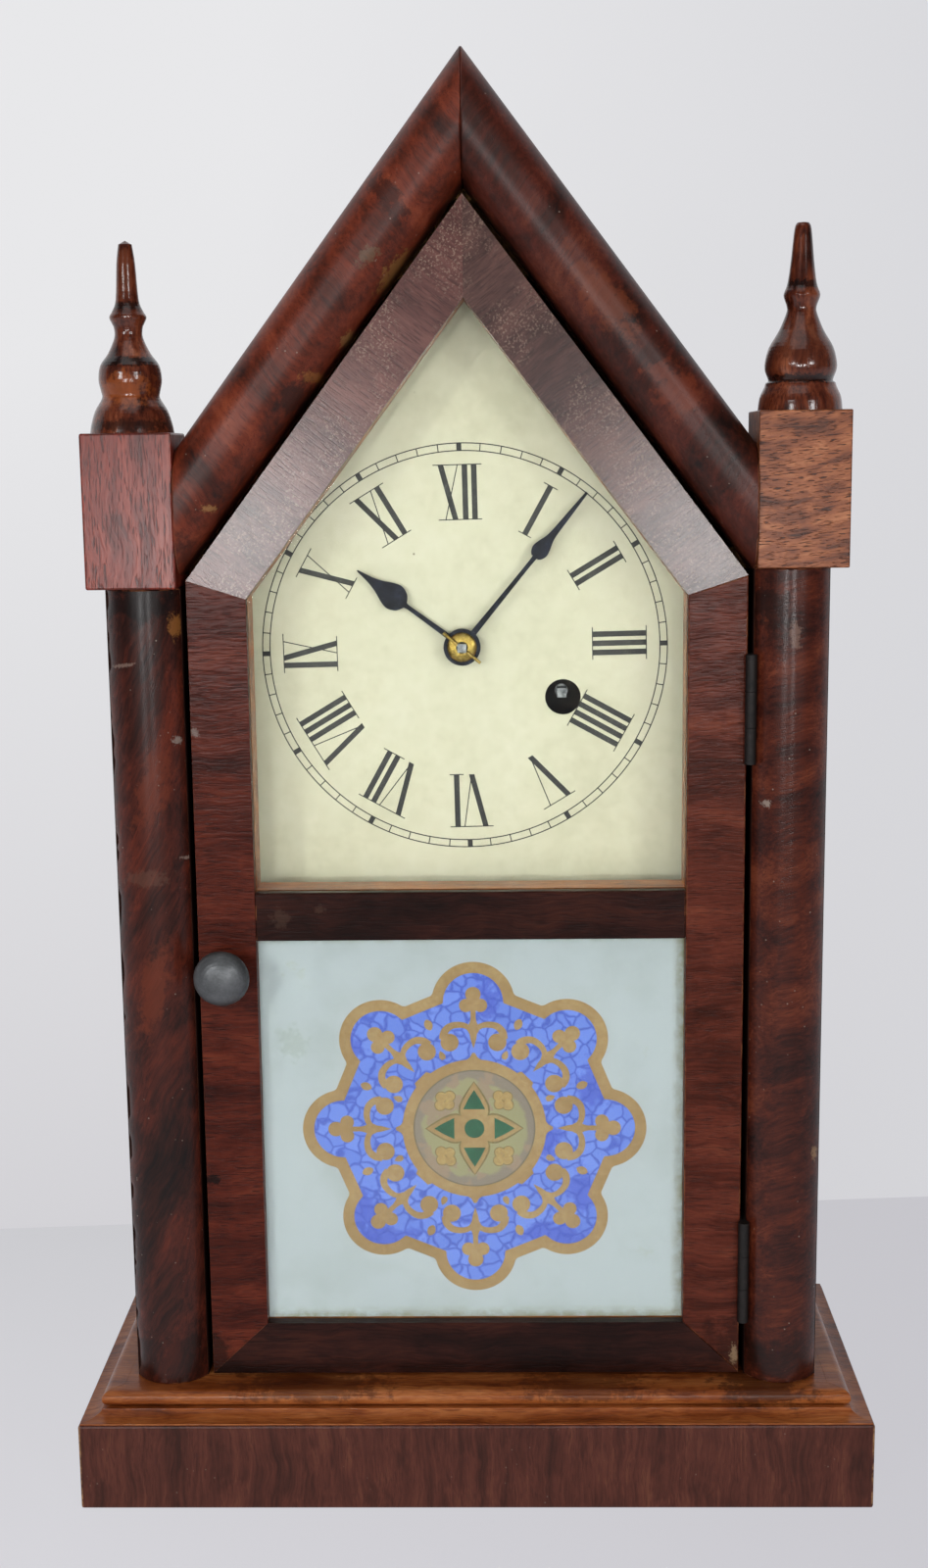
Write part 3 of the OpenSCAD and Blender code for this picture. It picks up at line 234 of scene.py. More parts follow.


# Every wood is walnut or mahogany veneer under old spirit varnish: brown-red, pores drawn out along the
# grain, a satin to glossy coat with fine crackle. Sizes are real ones in millimetres. A mark is a worn or
# dark place, and some marks are painted shade or painted highlight: x, z, half width, half height, turn,
# colour, share
woodLooks = {
    "crossBandedVeneerLeft": {  # door stiles: grain runs across them
        "turn": 90, "shades": ["#2e110b", "#4c1d13", "#60271a", "#783724"],
        "figure": (12, 90), "streak": (1.0, 26), "pore": (0.35, 6), "mottle": 14, "poreAmount": 0.7,
        "rough": 0.32, "bump": 0.5, "crackle": 0.35, "film": 0.35, "coat": 0.14,
        "marks": [(-95.1, 281, 1.6, 1.6, 0, "#8f8078", 0.7), (-94.2, 117.3, 2.2, 2.6, 0, "#170a07", 0.9),
                  (-94, 47, 9, 9, 0, "#241009", 0.75)]},
    "crossBandedVeneerRight": {  # the same, a little lighter
        "turn": 90, "shades": ["#35160d", "#522317", "#683022", "#7f402c"],
        "figure": (12, 90), "streak": (1.0, 26), "pore": (0.35, 6), "mottle": 14, "poreAmount": 0.6,
        "rough": 0.32, "bump": 0.4, "crackle": 0.35, "film": 0.35, "coat": 0.14,
        "marks": [(93, 50, 9, 12, 0, "#2e140c", 0.7), (94.8, 49, 1.4, 3.5, 0, "#9a7f62", 0.8)]},
    "rafterVeneerLeft": {  # door rafters: grain across the slope, varnish crazed to orange peel, painted glints
        "turn": -52.8, "shades": ["#40241f", "#5e3833", "#704640", "#85564d"],
        "figure": (16, 60), "streak": (0.9, 18), "pore": (0.45, 6), "mottle": 12, "poreAmount": 0.5,
        "rough": 0.34, "bump": 0.7, "crackle": 0.9, "film": 0.04, "coat": 0.9, "paintedGlints": 0.55},
    "rafterVeneerRight": {  # the same, a little darker
        "turn": 52.8, "shades": ["#33201c", "#4e322d", "#5f403a", "#754f46"],
        "figure": (16, 60), "streak": (0.9, 18), "pore": (0.45, 6), "mottle": 12, "poreAmount": 0.5,
        "rough": 0.34, "bump": 0.7, "crackle": 0.9, "film": 0.04, "coat": 0.9, "paintedGlints": 0.40,
        "marks": [(92.5, 340, 2.5, 3.5, 0, "#59452f", 0.8)]},
    "darkRailVeneer": {  # cross rail and bottom rail
        "turn": 90, "shades": ["#180906", "#27110c", "#341812", "#472319"],
        "figure": (12, 70), "streak": (1.0, 24), "pore": (0.45, 8), "mottle": 12, "poreAmount": 0.5,
        "rough": 0.34, "bump": 0.3, "crackle": 0.3, "coat": 0.15,
        "marks": [(-67, 214, 3, 4, 0, "#5c4438", 0.35), (-53, 217, 2, 1.5, 0, "#5c4438", 0.35)]},
    "columnVeneerLeft": {  # crotch figure running slantwise up the column, scuffed and knocked
        "turn": 28, "shades": ["#170907", "#351710", "#502218", "#702f1e"],
        "figure": (17, 80), "streak": (1.3, 30), "pore": (0.4, 8), "mottle": 22, "poreAmount": 0.4,
        "rough": 0.38, "bump": 0.35, "crackle": 0.4, "coat": 0.45, "specks": 0.75,
        "marks": [(-100.3, 318, 2.2, 4, 0, "#96602f", 0.8), (-101, 278.6, 1.6, 1.4, 0, "#9a8a80", 0.8),
                  (-113, 230, 8, 3, 0, "#6c4a3c", 0.4), (-118, 305, 4, 0.7, -8, "#8c7468", 0.7),
                  # the near-black mark at the top of the column is painted shade under the block
                  (-98.8, 236.5, 2.6, 0.6, 10, "#9c8478", 0.8), (-112, 326, 14, 6, 0, "#100706", 0.85),
                  (-111, 50, 14, 12, 0, "#1a0c09", 0.6), (-112, 190, 5, 16, 12, "#74341f", 0.6),
                  (-110, 262, 5, 14, 16, "#74341f", 0.5)]},
    "columnVeneerRight": {  # the figure lies nearly level on this one
        "turn": 76, "shades": ["#1c0b07", "#3f1a12", "#592618", "#7a3c26"],
        "figure": (15, 60), "streak": (1.2, 26), "pore": (0.4, 8), "mottle": 20, "poreAmount": 0.4,
        "rough": 0.36, "bump": 0.35, "crackle": 0.4, "coat": 0.45, "specks": 0.8,
        "marks": [(111.8, 313.4, 2.2, 4, 0, "#8a6a5c", 0.6), (122.5, 127, 1.2, 2.4, 0, "#a07c58", 0.8),
                  # the dark mark at the top of the column is painted shade under the block
                  (104, 322, 8, 9, 0, "#20110e", 0.8), (103, 255, 1.6, 1.2, 0, "#a8988c", 0.8),
                  (111, 50, 13, 10, 0, "#20100c", 0.6)]},
    "gableVeneerLeft": {  # half-round moulding veneered across: warm, satin, with knocked places
        "turn": -40, "shades": ["#2a100a", "#5c2413", "#76301c", "#90442b"],
        "figure": (15, 70), "streak": (1.5, 40), "pore": (0.4, 7), "mottle": 16, "poreAmount": 0.4,
        "rough": 0.50, "bump": 0.35, "crackle": 0.3, "coat": 0.55, "specks": 0.7,
        "marks": [(-23.0, 435.5, 2.0, 8, 37.2, "#8f6335", 0.85), (-31, 440, 4.5, 2.2, -40, "#6d5a44", 0.6),
                  (-38.6, 413.5, 1.8, 3, 37.2, "#a17647", 0.8), (-50.5, 401, 4, 1.6, 0, "#9a6231", 0.7),
                  (-57, 395, 5, 7, 37.2, "#1c0e09", 0.7), (-24, 458.5, 11, 3.5, 52, "#2a100b", 0.7),
                  (-86.5, 358, 2.2, 1.3, 0, "#a87c4c", 0.75), (-93, 342, 9, 6, 37, "#2c130d", 0.6)]},
    "gableVeneerRight": {  # the same, darker
        "turn": 34, "shades": ["#1e0c08", "#411a10", "#562318", "#703726"],
        "figure": (17, 70), "streak": (1.5, 40), "pore": (0.4, 7), "mottle": 16, "poreAmount": 0.4,
        "rough": 0.48, "bump": 0.35, "crackle": 0.3, "coat": 0.55, "specks": 0.6,
        "marks": [(47, 425, 6, 16, -37.2, "#7a3a20", 0.6), (70, 396, 6, 10, -37.2, "#7a3620", 0.6)]},
    "blockWalnutLeft": {  # solid block, open pores standing upright
        "turn": 0, "shades": ["#551a12", "#7f2e22", "#943b2c", "#aa4e3b"],
        "figure": (6, 60), "streak": (0.9, 40), "pore": (0.55, 6), "mottle": 16, "poreAmount": 1.0,
        "rough": 0.36, "bump": 0.8, "crackle": 0.3, "coat": 0.6, "worn": "#5a2a20"},
    "blockWalnutRight": {  # lighter and browner, with its pores lying level
        "turn": 84, "shades": ["#46200f", "#87492a", "#a8623b", "#c68055"],
        "figure": (4, 24), "streak": (0.8, 12), "pore": (0.5, 4), "mottle": 14, "poreAmount": 1.0,
        "rough": 0.42, "bump": 0.7, "crackle": 0.3, "coat": 0.45, "worn": "#6a3a20"},
    "mouldingWalnut": {  # stepped base moulding, worn orange, with dark varnish left in patches
        "turn": 90, "shades": ["#5a2912", "#8a461f", "#a85f2f", "#c07742"],
        "figure": (8, 90), "streak": (0.8, 40), "pore": (0.4, 8), "mottle": 12, "poreAmount": 0.5,
        "rough": 0.34, "bump": 0.3, "crackle": 0.3, "coat": 0.5, "worn": "#b06c38",
        "marks": [(-60, 41, 26, 4, 0, "#4a2312", 0.6), (40, 40, 22, 3, 0, "#4c2513", 0.55),
                  (104, 40, 16, 5, 0, "#3a1d10", 0.7), (-118, 41, 9, 5, 0, "#8a4a26", 0.5)]},
    "plinthVeneer": {  # narrow bands of grain standing upright on the plinth boards
        "turn": 0, "shades": ["#3a1a11", "#50271d", "#5e3025", "#70402f"],
        "figure": (5, 60), "streak": (1.0, 40), "pore": (0.4, 4), "mottle": 18, "poreAmount": 0.4,
        "rough": 0.42, "bump": 0.3, "crackle": 0.3, "coat": 0.4, "specks": 0.3, "worn": "#a97f55"},
    "turnedWalnut": {  # finials under glossy varnish, amber partly where it is rubbed thin and partly painted highlight, dark in the grooves
        "turn": 0, "shades": ["#240d08", "#552415", "#763a24", "#9c5a3e"],
        "figure": (7, 30), "streak": (1.2, 22), "pore": (0.4, 6), "mottle": 7, "poreAmount": 0.5,
        "rough": 0.27, "bump": 0.35, "crackle": 0.4, "coat": 0.9,
        "marks": [(-114, 407.5, 16, 1.6, 0, "#120705", 0.9), (-114, 426, 16, 1.4, 0, "#140806", 0.8),
                  # the amber on the left finial's belly and spire is partly rubbed varnish and partly painted
                  # highlight
                  (-114, 386, 20, 2.0, 0, "#1c0c07", 0.7), (-114, 398, 9, 5, 0, "#a8582a", 0.6),
                  (-114, 436, 4, 7, 0, "#84452a", 0.4),
                  (114, 387, 20, 1.6, 0, "#120705", 0.9), (114, 399, 20, 1.5, 0, "#140806", 0.9),
                  (114, 430, 16, 1.4, 0, "#140806", 0.8), (114, 410, 18, 7, 0, "#4c2417", 0.5)]},
    "shadedGapPine": {  # softwood made nearly black where it shows in the gap beside the door: painted shade of the gap
        "turn": 0, "shades": ["#120806", "#1d0e0a", "#291510", "#352019"],
        "figure": (9, 120), "streak": (1.2, 60), "pore": (0.5, 12), "mottle": 20, "poreAmount": 0.3,
        "rough": 0.6, "bump": 0.2, "crackle": 0.2},
    "agedPine": {  # unseen softwood: pale, straight, unvarnished
        "turn": 0, "shades": ["#7a5836", "#937047", "#a8845a", "#ba976d"],
        "figure": (12, 160), "streak": (1.2, 90), "pore": (0.6, 20), "mottle": 30, "poreAmount": 0.2,
        "rough": 0.7, "bump": 0.2, "crackle": 0.1},
}


# What all the woods share: how finely and how far (in metres) the grain wanders, the grain levels of the
# four shades, and the sizes in mm and noise levels of open pores, rubbed edges, specks and painted highlight
# glints
grain = {
    "wander": 38.0, "sway": 0.010, "stops": (0.36, 0.46, 0.54, 0.65), "pit": (0.57, 0.66),
    "rubSize": 6, "rub": (0.46, 0.58, 0.9), "rubbed": "#7d4a30",
    "speckPitch": 3.4, "speck": (0.10, 0.06), "speckPatch": 11, "speckThin": (0.52, 0.60), "dust": "#a08d80",
    "paintedGlintSize": 0.75, "paintedGlintLevels": (0.54, 0.64), "paintedGlintPatch": 16, "paintedGlintThin": (0.42, 0.58), "paintedGlintTone": "#b39683",
    "crackleSize": 0.9, "depth": 0.00025, "film": 0.12,
}


def woodMaterial(name, look):
    material, tree, position = startMaterial(name)
    turn = (0, math.radians(look["turn"]), 0)
    drift = addNode(tree, "ShaderNodeTexNoise", {"Vector": position, "Scale": grain["wander"], "Detail": 2.0},
                    out=1)
    sway = addNode(tree, "ShaderNodeVectorMath", {0: drift, 1: (0.5, 0.5, 0.5)}, operation="SUBTRACT")
    sway = addNode(tree, "ShaderNodeVectorMath", {0: sway, 3: grain["sway"]}, operation="SCALE")
    bent = addNode(tree, "ShaderNodeVectorMath", {0: position, 1: sway}, operation="ADD")

    def stretched(source, size, detail, rough=0.55):
        wide, long = size[0] * mm, size[1] * mm
        laid = addNode(tree, "ShaderNodeMapping", {"Vector": source, "Rotation": turn,
                                                   "Scale": (wide, wide, long)}, vector_type="TEXTURE")
        return addNode(tree, "ShaderNodeTexNoise", {"Vector": laid, "Scale": 1.0, "Detail": detail,
                                                    "Roughness": rough})

    figure = stretched(bent, look["figure"], 3.0)
    streak = stretched(bent, look["streak"], 4.0)
    pore = stretched(position, look["pore"], 1.0)
    mottle = noiseAt(tree, position, look["mottle"], 4.0, 0.6)
    crackle = noiseAt(tree, position, grain["crackleSize"], 3.0, 0.6)
    tone = addNode(tree, "ShaderNodeMix", {0: 0.34, 2: figure, 3: streak})
    tone = addNode(tree, "ShaderNodeMix", {0: 0.18, 2: tone, 3: mottle})
    shades = [toLinear(h) for h in look["shades"]]
    base = addNode(tree, "ShaderNodeValToRGB", {0: tone},
                   stops=list(zip(grain["stops"], shades)))
    pit = mask(tree, pore, *grain["pit"], look["poreAmount"])
    colour = blendColours(tree, pit, base, shades[0])
    for x, z, wide, tall, lean, hexCode, share in look.get("marks", ()):
        mark = markAt(tree, position, x, z, wide, tall, lean, share)
        colour = blendColours(tree, mark, colour, toLinear(hexCode))
    worn = addNode(tree, "ShaderNodeAttribute", out="Fac", attribute_name="edgeWear")
    rub = mask(tree, noiseAt(tree, position, grain["rubSize"], 5.0, 0.7), *grain["rub"])
    rubbed = addNode(tree, "ShaderNodeMath", {0: worn, 1: rub}, operation="MULTIPLY")
    colour = blendColours(tree, rubbed, colour, toLinear(look.get("worn", grain["rubbed"])))
    if "specks" in look:
        dots = addNode(tree, "ShaderNodeTexVoronoi", {
            "Vector": position, "Scale": 1 / (grain["speckPitch"] * mm)})
        dots = mask(tree, dots, *grain["speck"], look["specks"])
        thin = mask(tree, noiseAt(tree, position, grain["speckPatch"], 2.0), *grain["speckThin"])
        dots = addNode(tree, "ShaderNodeMath", {0: dots, 1: thin}, operation="MULTIPLY")
        colour = blendColours(tree, dots, colour, toLinear(grain["dust"]))
    # painted highlight: pale glints put into the colour in patches, where the crazed varnish would catch the
    # light
    if "paintedGlints" in look:
        paintedGlint = noiseAt(tree, position, grain["paintedGlintSize"], 2.0, 0.6)
        paintedGlint = mask(tree, paintedGlint, *grain["paintedGlintLevels"], look["paintedGlints"])
        patchy = mask(tree, noiseAt(tree, position, grain["paintedGlintPatch"], 3.0), *grain["paintedGlintThin"])
        paintedGlint = addNode(tree, "ShaderNodeMath", {0: paintedGlint, 1: patchy}, operation="MULTIPLY")
        colour = blendColours(tree, paintedGlint, colour, toLinear(grain["paintedGlintTone"]))
    gloss = addNode(tree, "ShaderNodeMapRange", {0: mottle, 1: 0.3, 2: 0.7, 3: look["rough"] - 0.05,
                                                 4: look["rough"] + 0.10})
    pits = addNode(tree, "ShaderNodeMath", {0: streak, 1: pit}, operation="SUBTRACT")
    fine = addNode(tree, "ShaderNodeMath", {0: crackle, 1: look["crackle"]}, operation="MULTIPLY")
    height = addNode(tree, "ShaderNodeMath", {0: pits, 1: fine}, operation="ADD")
    relief = {"Distance": grain["depth"], "Height": height}
    bump = addNode(tree, "ShaderNodeBump", {"Strength": look["bump"], **relief})
    film = addNode(tree, "ShaderNodeBump", {"Strength": look.get("film", grain["film"]), **relief})
    varnished = {"Coat Weight": look["coat"], "Coat Roughness": look["rough"] - 0.12,
                 "Coat Normal": film} if "coat" in look else {}
    closeMaterial(tree, {"Base Color": colour, "Roughness": gloss, "Normal": bump, "Specular IOR Level": 0.06,
                         **varnished})
    return material


woods = {name: woodMaterial(name, look) for name, look in woodLooks.items()}
print("woods mixed")


# Metals, each with its own tarnish, two of them darkened as painted shade
metalLooks = {
    "agedBrass": {  # washer and pin: old lacquer, brown tarnish in patches, satin
        "shades": ["#6a5628", "#a88e4a", "#ccb470"], "patch": 2.2, "metal": 1.0, "rough": 0.32, "bump": 0.10},
    "movementBrass": {  # plates and wheels: rolled and brushed, dulled evenly
        "shades": ["#7b6534", "#a18a4c", "#b8a261"], "patch": 14, "metal": 1.0, "rough": 0.36, "bump": 0.05},
    "shadedPlateBrass": {  # front plate: made almost black, painted shade inside the case behind the winding hole
        "shades": ["#0d0a07", "#19130b", "#2a2012"], "patch": 9, "metal": 0.6, "rough": 0.55, "bump": 0.08},
    "shadedHingeBrass": {  # hinges made nearly black, painted shade of the gap beside the door
        "shades": ["#080504", "#100906", "#1a100b"], "patch": 3, "metal": 0.2, "rough": 0.6, "bump": 0.15},
    "cutSteel": {  # arbors, screws, spring: filed grey steel with a thin oil film
        "shades": ["#4e5054", "#7c7e82", "#9a9ca0"], "patch": 3, "metal": 1.0, "rough": 0.34, "bump": 0.08},
    "bluedSteel": {  # hands: fire-blued, gone almost black
        "shades": ["#0b0c11", "#14161f", "#232636"], "patch": 3, "metal": 0.75, "rough": 0.36, "bump": 0.08},
    "dullPewter": {  # knob: cast tin alloy, matt grey with darker handling marks
        "shades": ["#57595a", "#66686a", "#77797b"], "patch": 9, "metal": 0.8, "rough": 0.45, "bump": 0.06},
}


def metalMaterial(name, look):
    material, tree, position = startMaterial(name)
    cloud = noiseAt(tree, position, look["patch"], 5.0, 0.6)
    fine = noiseAt(tree, position, 0.7, 3.0, 0.6)
    tone = addNode(tree, "ShaderNodeMix", {0: 0.25, 2: cloud, 3: fine})
    shades = [toLinear(h) for h in look["shades"]]
    colour = addNode(tree, "ShaderNodeValToRGB", {0: tone},
                     stops=[(0.36, shades[0]), (0.50, shades[1]), (0.66, shades[2])])
    gloss = addNode(tree, "ShaderNodeMapRange", {0: cloud, 1: 0.3, 2: 0.7, 3: look["rough"] + 0.12,
                                                 4: look["rough"] - 0.06})
    bump = addNode(tree, "ShaderNodeBump", {"Strength": look["bump"], "Distance": 0.0002, "Height": fine})
    closeMaterial(tree, {"Base Color": colour, "Metallic": look["metal"], "Roughness": gloss, "Normal": bump})
    return material


metals = {name: metalMaterial(name, look) for name, look in metalLooks.items()}

# Paints and inks: flat films with a faint cloudiness from the brush or the press
paintLooks = {
    "dialEnamel": {  # zinc dial, brushed cream oil enamel, satin, a few fly specks
        "shades": ["#c6c3a9", "#d1ceb6", "#d8d5c0"], "patch": 60, "fine": 5, "rough": 0.42,
        "specks": "#5b5238"},
    "printersInk": {  # black transfer print with thin spots
        "shades": ["#0f0f12", "#18181b", "#34332f"], "patch": 3, "fine": 0.5, "rough": 0.45},
    "ochrePaint": {  # flat ochre in place of gilding, behind the glass
        "shades": ["#8e7045", "#997b52", "#a58a60"], "patch": 20, "fine": 1.5, "rough": 0.55, "bonded": True},
    "greenPaint": {  # dark emerald oil paint behind the glass
        "shades": ["#1f4a33", "#29563e", "#336248"], "patch": 8, "fine": 1.2, "rough": 0.5, "bonded": True},
    "umberPaint": {  # thin brown lines drawn around the star and the tulips
        "shades": ["#6a5a38", "#75653f", "#806f48"], "patch": 4, "fine": 1.0, "rough": 0.55, "bonded": True},
    "tulipPaint": {  # paler, thin ochre touches on the disc
        "shades": ["#93784c", "#a08353", "#ac9160"], "patch": 4, "fine": 1.0, "rough": 0.55, "bonded": True},
}


def paintMaterial(name, look):
    material, tree, position = startMaterial(name)
    cloud = noiseAt(tree, position, look["patch"], 4.0, 0.6)
    fine = noiseAt(tree, position, look["fine"], 3.0, 0.6)
    tone = addNode(tree, "ShaderNodeMix", {0: 0.4, 2: cloud, 3: fine})
    shades = [toLinear(h) for h in look["shades"]]
    colour = addNode(tree, "ShaderNodeValToRGB", {0: tone},
                     stops=[(0.34, shades[0]), (0.50, shades[1]), (0.66, shades[2])])
    if "specks" in look:
        dots = addNode(tree, "ShaderNodeTexVoronoi", {"Vector": position, "Scale": 1 / (14 * mm)})
        dots = mask(tree, dots, 0.035, 0.02, 0.8)
        colour = blendColours(tree, dots, colour, toLinear(look["specks"]))
    bump = addNode(tree, "ShaderNodeBump", {"Strength": 0.06, "Distance": 0.0002, "Height": fine})
    closeMaterial(tree, {"Base Color": colour, "Roughness": look["rough"], "Normal": bump,
                         "Specular IOR Level": 0.0 if "bonded" in look else 0.5})
    return material


paints = {name: paintMaterial(name, look) for name, look in paintLooks.items()}


# Blue field of the tablet: paint that shrank into pale cells with darker seams, deeper in some places
# (x, z, half width and half height of each)
bluePaint = {
    "cell": 5.6, "pale": "#6d85d3", "middle": "#5f77c8", "seam": "#4355ae", "deep": "#4856b5",
    "stirScale": 190.0, "stir": 0.0034, "seamAt": (0.10, 0.03, 0.85), "deepShare": 0.75,
    "deepAt": [(-32, 91, 13, 6), (-40, 101, 7, 9), (44, 149, 7, 10), (28, 130, 5, 8), (39, 110, 6, 8),
               (30, 93, 14, 6), (6, 182, 4, 8), (-44, 166, 5, 6)],
}

material, tree, position = startMaterial("blueCellPaint")
stir = addNode(tree, "ShaderNodeTexNoise", {
    "Vector": position, "Scale": bluePaint["stirScale"], "Detail": 1.0}, out=1)
stir = addNode(tree, "ShaderNodeVectorMath", {0: stir, 3: bluePaint["stir"]}, operation="SCALE")
stirred = addNode(tree, "ShaderNodeVectorMath", {0: position, 1: stir}, operation="ADD")
cellScale = 1 / (bluePaint["cell"] * mm)
cells = addNode(tree, "ShaderNodeTexVoronoi", {"Vector": stirred, "Scale": cellScale}, out="Distance",
                feature="DISTANCE_TO_EDGE")
shadeCell = addNode(tree, "ShaderNodeTexVoronoi", {"Vector": stirred, "Scale": cellScale}, out="Color")
shadeCell = addNode(tree, "ShaderNodeSeparateColor", {0: shadeCell})
body = blendColours(tree, shadeCell, toLinear(bluePaint["middle"]), toLinear(bluePaint["pale"]))
for x, z, wide, tall in bluePaint["deepAt"]:
    mark = markAt(tree, position, x, z, wide, tall, 0, bluePaint["deepShare"])
    body = blendColours(tree, mark, body, toLinear(bluePaint["deep"]))
body = blendColours(tree, mask(tree, cells, *bluePaint["seamAt"]), body, toLinear(bluePaint["seam"]))
closeMaterial(tree, {"Base Color": body, "Roughness": 0.5, "Specular IOR Level": 0.0})
paints["blueCellPaint"] = material

# Ground of the tablet: thin grey-blue paint with brown stains that crept in under the glass
groundPaint = {
    "clean": "#aeb3b6", "dull": "#a1a6a5", "stain": "#a3a592", "edge": "#85805f", "blotch": "#9fa5a0",
    # x, z, half width, half height, turn and share of the one large blotch
    "blotchAt": (-65.5, 166, 6.5, 5.5, 20, 0.75),
    # axis, where the dirt along an edge begins and where it is full, its share
    "dirt": [("X", 0.0715, 0.0760, 0.85), ("Z", 0.2030, 0.2060, 0.6), ("Z", 0.0660, 0.0612, 0.8)],
}

material, tree, position = startMaterial("paleGroundPaint")
cloud = noiseAt(tree, position, 30, 4.0, 0.6)
body = blendColours(tree, mask(tree, cloud, 0.48, 0.68, 0.6), toLinear(groundPaint["clean"]),
                    toLinear(groundPaint["dull"]))
blot = mask(tree, noiseAt(tree, position, 17, 5.0, 0.65), 0.64, 0.70, 0.35)
body = blendColours(tree, blot, body, toLinear(groundPaint["stain"]))
body = blendColours(tree, markAt(tree, position, *groundPaint["blotchAt"]), body,
                    toLinear(groundPaint["blotch"]))
for axis, low, high, reach in groundPaint["dirt"]:
    place = addNode(tree, "ShaderNodeSeparateXYZ", {0: position}, out=axis)
    near = mask(tree, place, low, high, reach)
    ragged = mask(tree, noiseAt(tree, position, 6, 4.0, 0.65), 0.35, 0.60)
    near = addNode(tree, "ShaderNodeMath", {0: near, 1: ragged}, operation="MULTIPLY")
    body = blendColours(tree, near, body, toLinear(groundPaint["edge"]))
closeMaterial(tree, {"Base Color": body, "Roughness": 0.55, "Specular IOR Level": 0.0})
paints["paleGroundPaint"] = material

# Disc in the rosette: mauve-grey wash with a dark rim, an olive field in the middle and rose clouds
discPaint = {
    "centre": (0.6, 134.1), "wash": "#83766b", "olive": "#918b6a", "rose": "#917c6a", "rim": "#625845",
    "oliveRadius": 18.6, "oliveWobble": 7.0, "rimRadius": 21.7,
    "cloud": 10, "cloudAt": (0.50, 0.53, 0.9), "cloudShift": (0.3, 0.1, 0.2),
}

material, tree, position = startMaterial("cloudedDiscPaint")
laid = addNode(tree, "ShaderNodeMapping", {
    "Vector": position, "Location": (discPaint["centre"][0] * mm, 0, discPaint["centre"][1] * mm),
    "Scale": (mm, markEdge["alongY"], mm)}, vector_type="TEXTURE")
reach = addNode(tree, "ShaderNodeVectorMath", {0: laid}, out=1, operation="LENGTH")
wobble = addNode(tree, "ShaderNodeMath", {
    0: noiseAt(tree, position, 9, 3.0), 1: discPaint["oliveWobble"], 2: reach}, operation="MULTIPLY_ADD")
oliveAt = discPaint["oliveRadius"] + discPaint["oliveWobble"] / 2
body = blendColours(tree, mask(tree, wobble, oliveAt + 0.6, oliveAt - 0.6), toLinear(discPaint["wash"]),
                    toLinear(discPaint["olive"]))
shifted = addNode(tree, "ShaderNodeVectorMath", {0: position, 1: discPaint["cloudShift"]},
                  operation="ADD")
cloud = mask(tree, noiseAt(tree, shifted, discPaint["cloud"], 3.0), *discPaint["cloudAt"])
body = blendColours(tree, cloud, body, toLinear(discPaint["rose"]))
rim = mask(tree, reach, discPaint["rimRadius"] - 0.3, discPaint["rimRadius"] + 0.2, 0.8)
body = blendColours(tree, rim, body, toLinear(discPaint["rim"]))
closeMaterial(tree, {"Base Color": body, "Roughness": 0.55, "Specular IOR Level": 0.0})
paints["cloudedDiscPaint"] = material


# Old window glass: faint green, clear, light and shadow pass straight through
def glassMaterial(name, tint):
    material, tree, position = startMaterial(name)
    wave = noiseAt(tree, position, 60, 1.0)
    bump = addNode(tree, "ShaderNodeBump", {"Strength": 0.04, "Distance": 0.0005, "Height": wave})
    pane = addNode(tree, "ShaderNodeBsdfPrincipled", {
        "Base Color": toLinear(tint), "Roughness": 0.02, "IOR": 1.5, "Transmission Weight": 1.0,
        "Normal": bump})
    clear = addNode(tree, "ShaderNodeBsdfTransparent", {"Color": toLinear(tint)})
    shade = addNode(tree, "ShaderNodeLightPath", out="Is Shadow Ray")
    surface = addNode(tree, "ShaderNodeMixShader", {0: shade, 1: pane, 2: clear})
    addNode(tree, "ShaderNodeOutputMaterial", {"Surface": surface})
    return material


panes = {"upper_glass": glassMaterial("doorGlass", "#f7f9f5"),
         "tablet_glass": glassMaterial("tabletGlass", "#f4f8f6")}
print("metals, paints and glass mixed")


# Faces that differ by less than "flat" degrees are joined first, and no edge is worn near x = 0, the mitre.
# "smooth" lies under the angle between a flat face and its eased edge, so that flat faces shade flat
easing = {"merge": 1e-6, "flat": 0.6, "ridge": 0.8, "sharp": 32, "smooth": 16}


# Copies a node merged into clean faces, eases its sharp edges and marks them as worn
def easedCopy(node, material, edge=0.5, slices=0, shape=None):
    bm = bmesh.new()
    bm.from_mesh(nodes[node].data)
    bmesh.ops.remove_doubles(bm, verts=bm.verts[:], dist=easing["merge"])
    flat = math.radians(easing["flat"])
    bmesh.ops.dissolve_limit(bm, angle_limit=flat, verts=bm.verts[:], edges=bm.edges[:])
    wear = bm.faces.layers.float.new("edgeWear")
    sharp = math.radians(easing["sharp"])
    keen = [e for e in bm.edges if len(e.link_faces) == 2 and e.calc_face_angle(0) > sharp]
    eased = bmesh.ops.bevel(bm, geom=keen, offset=edge * mm, affect="EDGES", segments=2, profile=0.5,
                            material=-1, clamp_overlap=True)
    for face in eased["faces"]:
        face[wear] = 0.0 if abs(face.calc_center_median().x) < easing["ridge"] * mm else 1.0
    low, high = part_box(node)
    for k in range(1, slices):
        height = low[2] + (high[2] - low[2]) * k / slices
        bmesh.ops.bisect_plane(bm, geom=bm.verts[:] + bm.edges[:] + bm.faces[:], dist=1e-7,
                               plane_co=(0, 0, height), plane_no=(0, 0, 1))
    if shape:
        for vert in bm.verts:
            vert.co = shape(vert.co.copy())
    return makePiece(node + ".veneered", bm, bodyOf[node], material, (node,), easing["smooth"],
                     normals=False)


# The left column's outer edge lost flakes of veneer all the way up
chips = {"pitch": 11.0, "small": 3.4, "start": 0.14, "steep": 3.5, "depth": 0.7, "band": 2.6, "slices": 150}


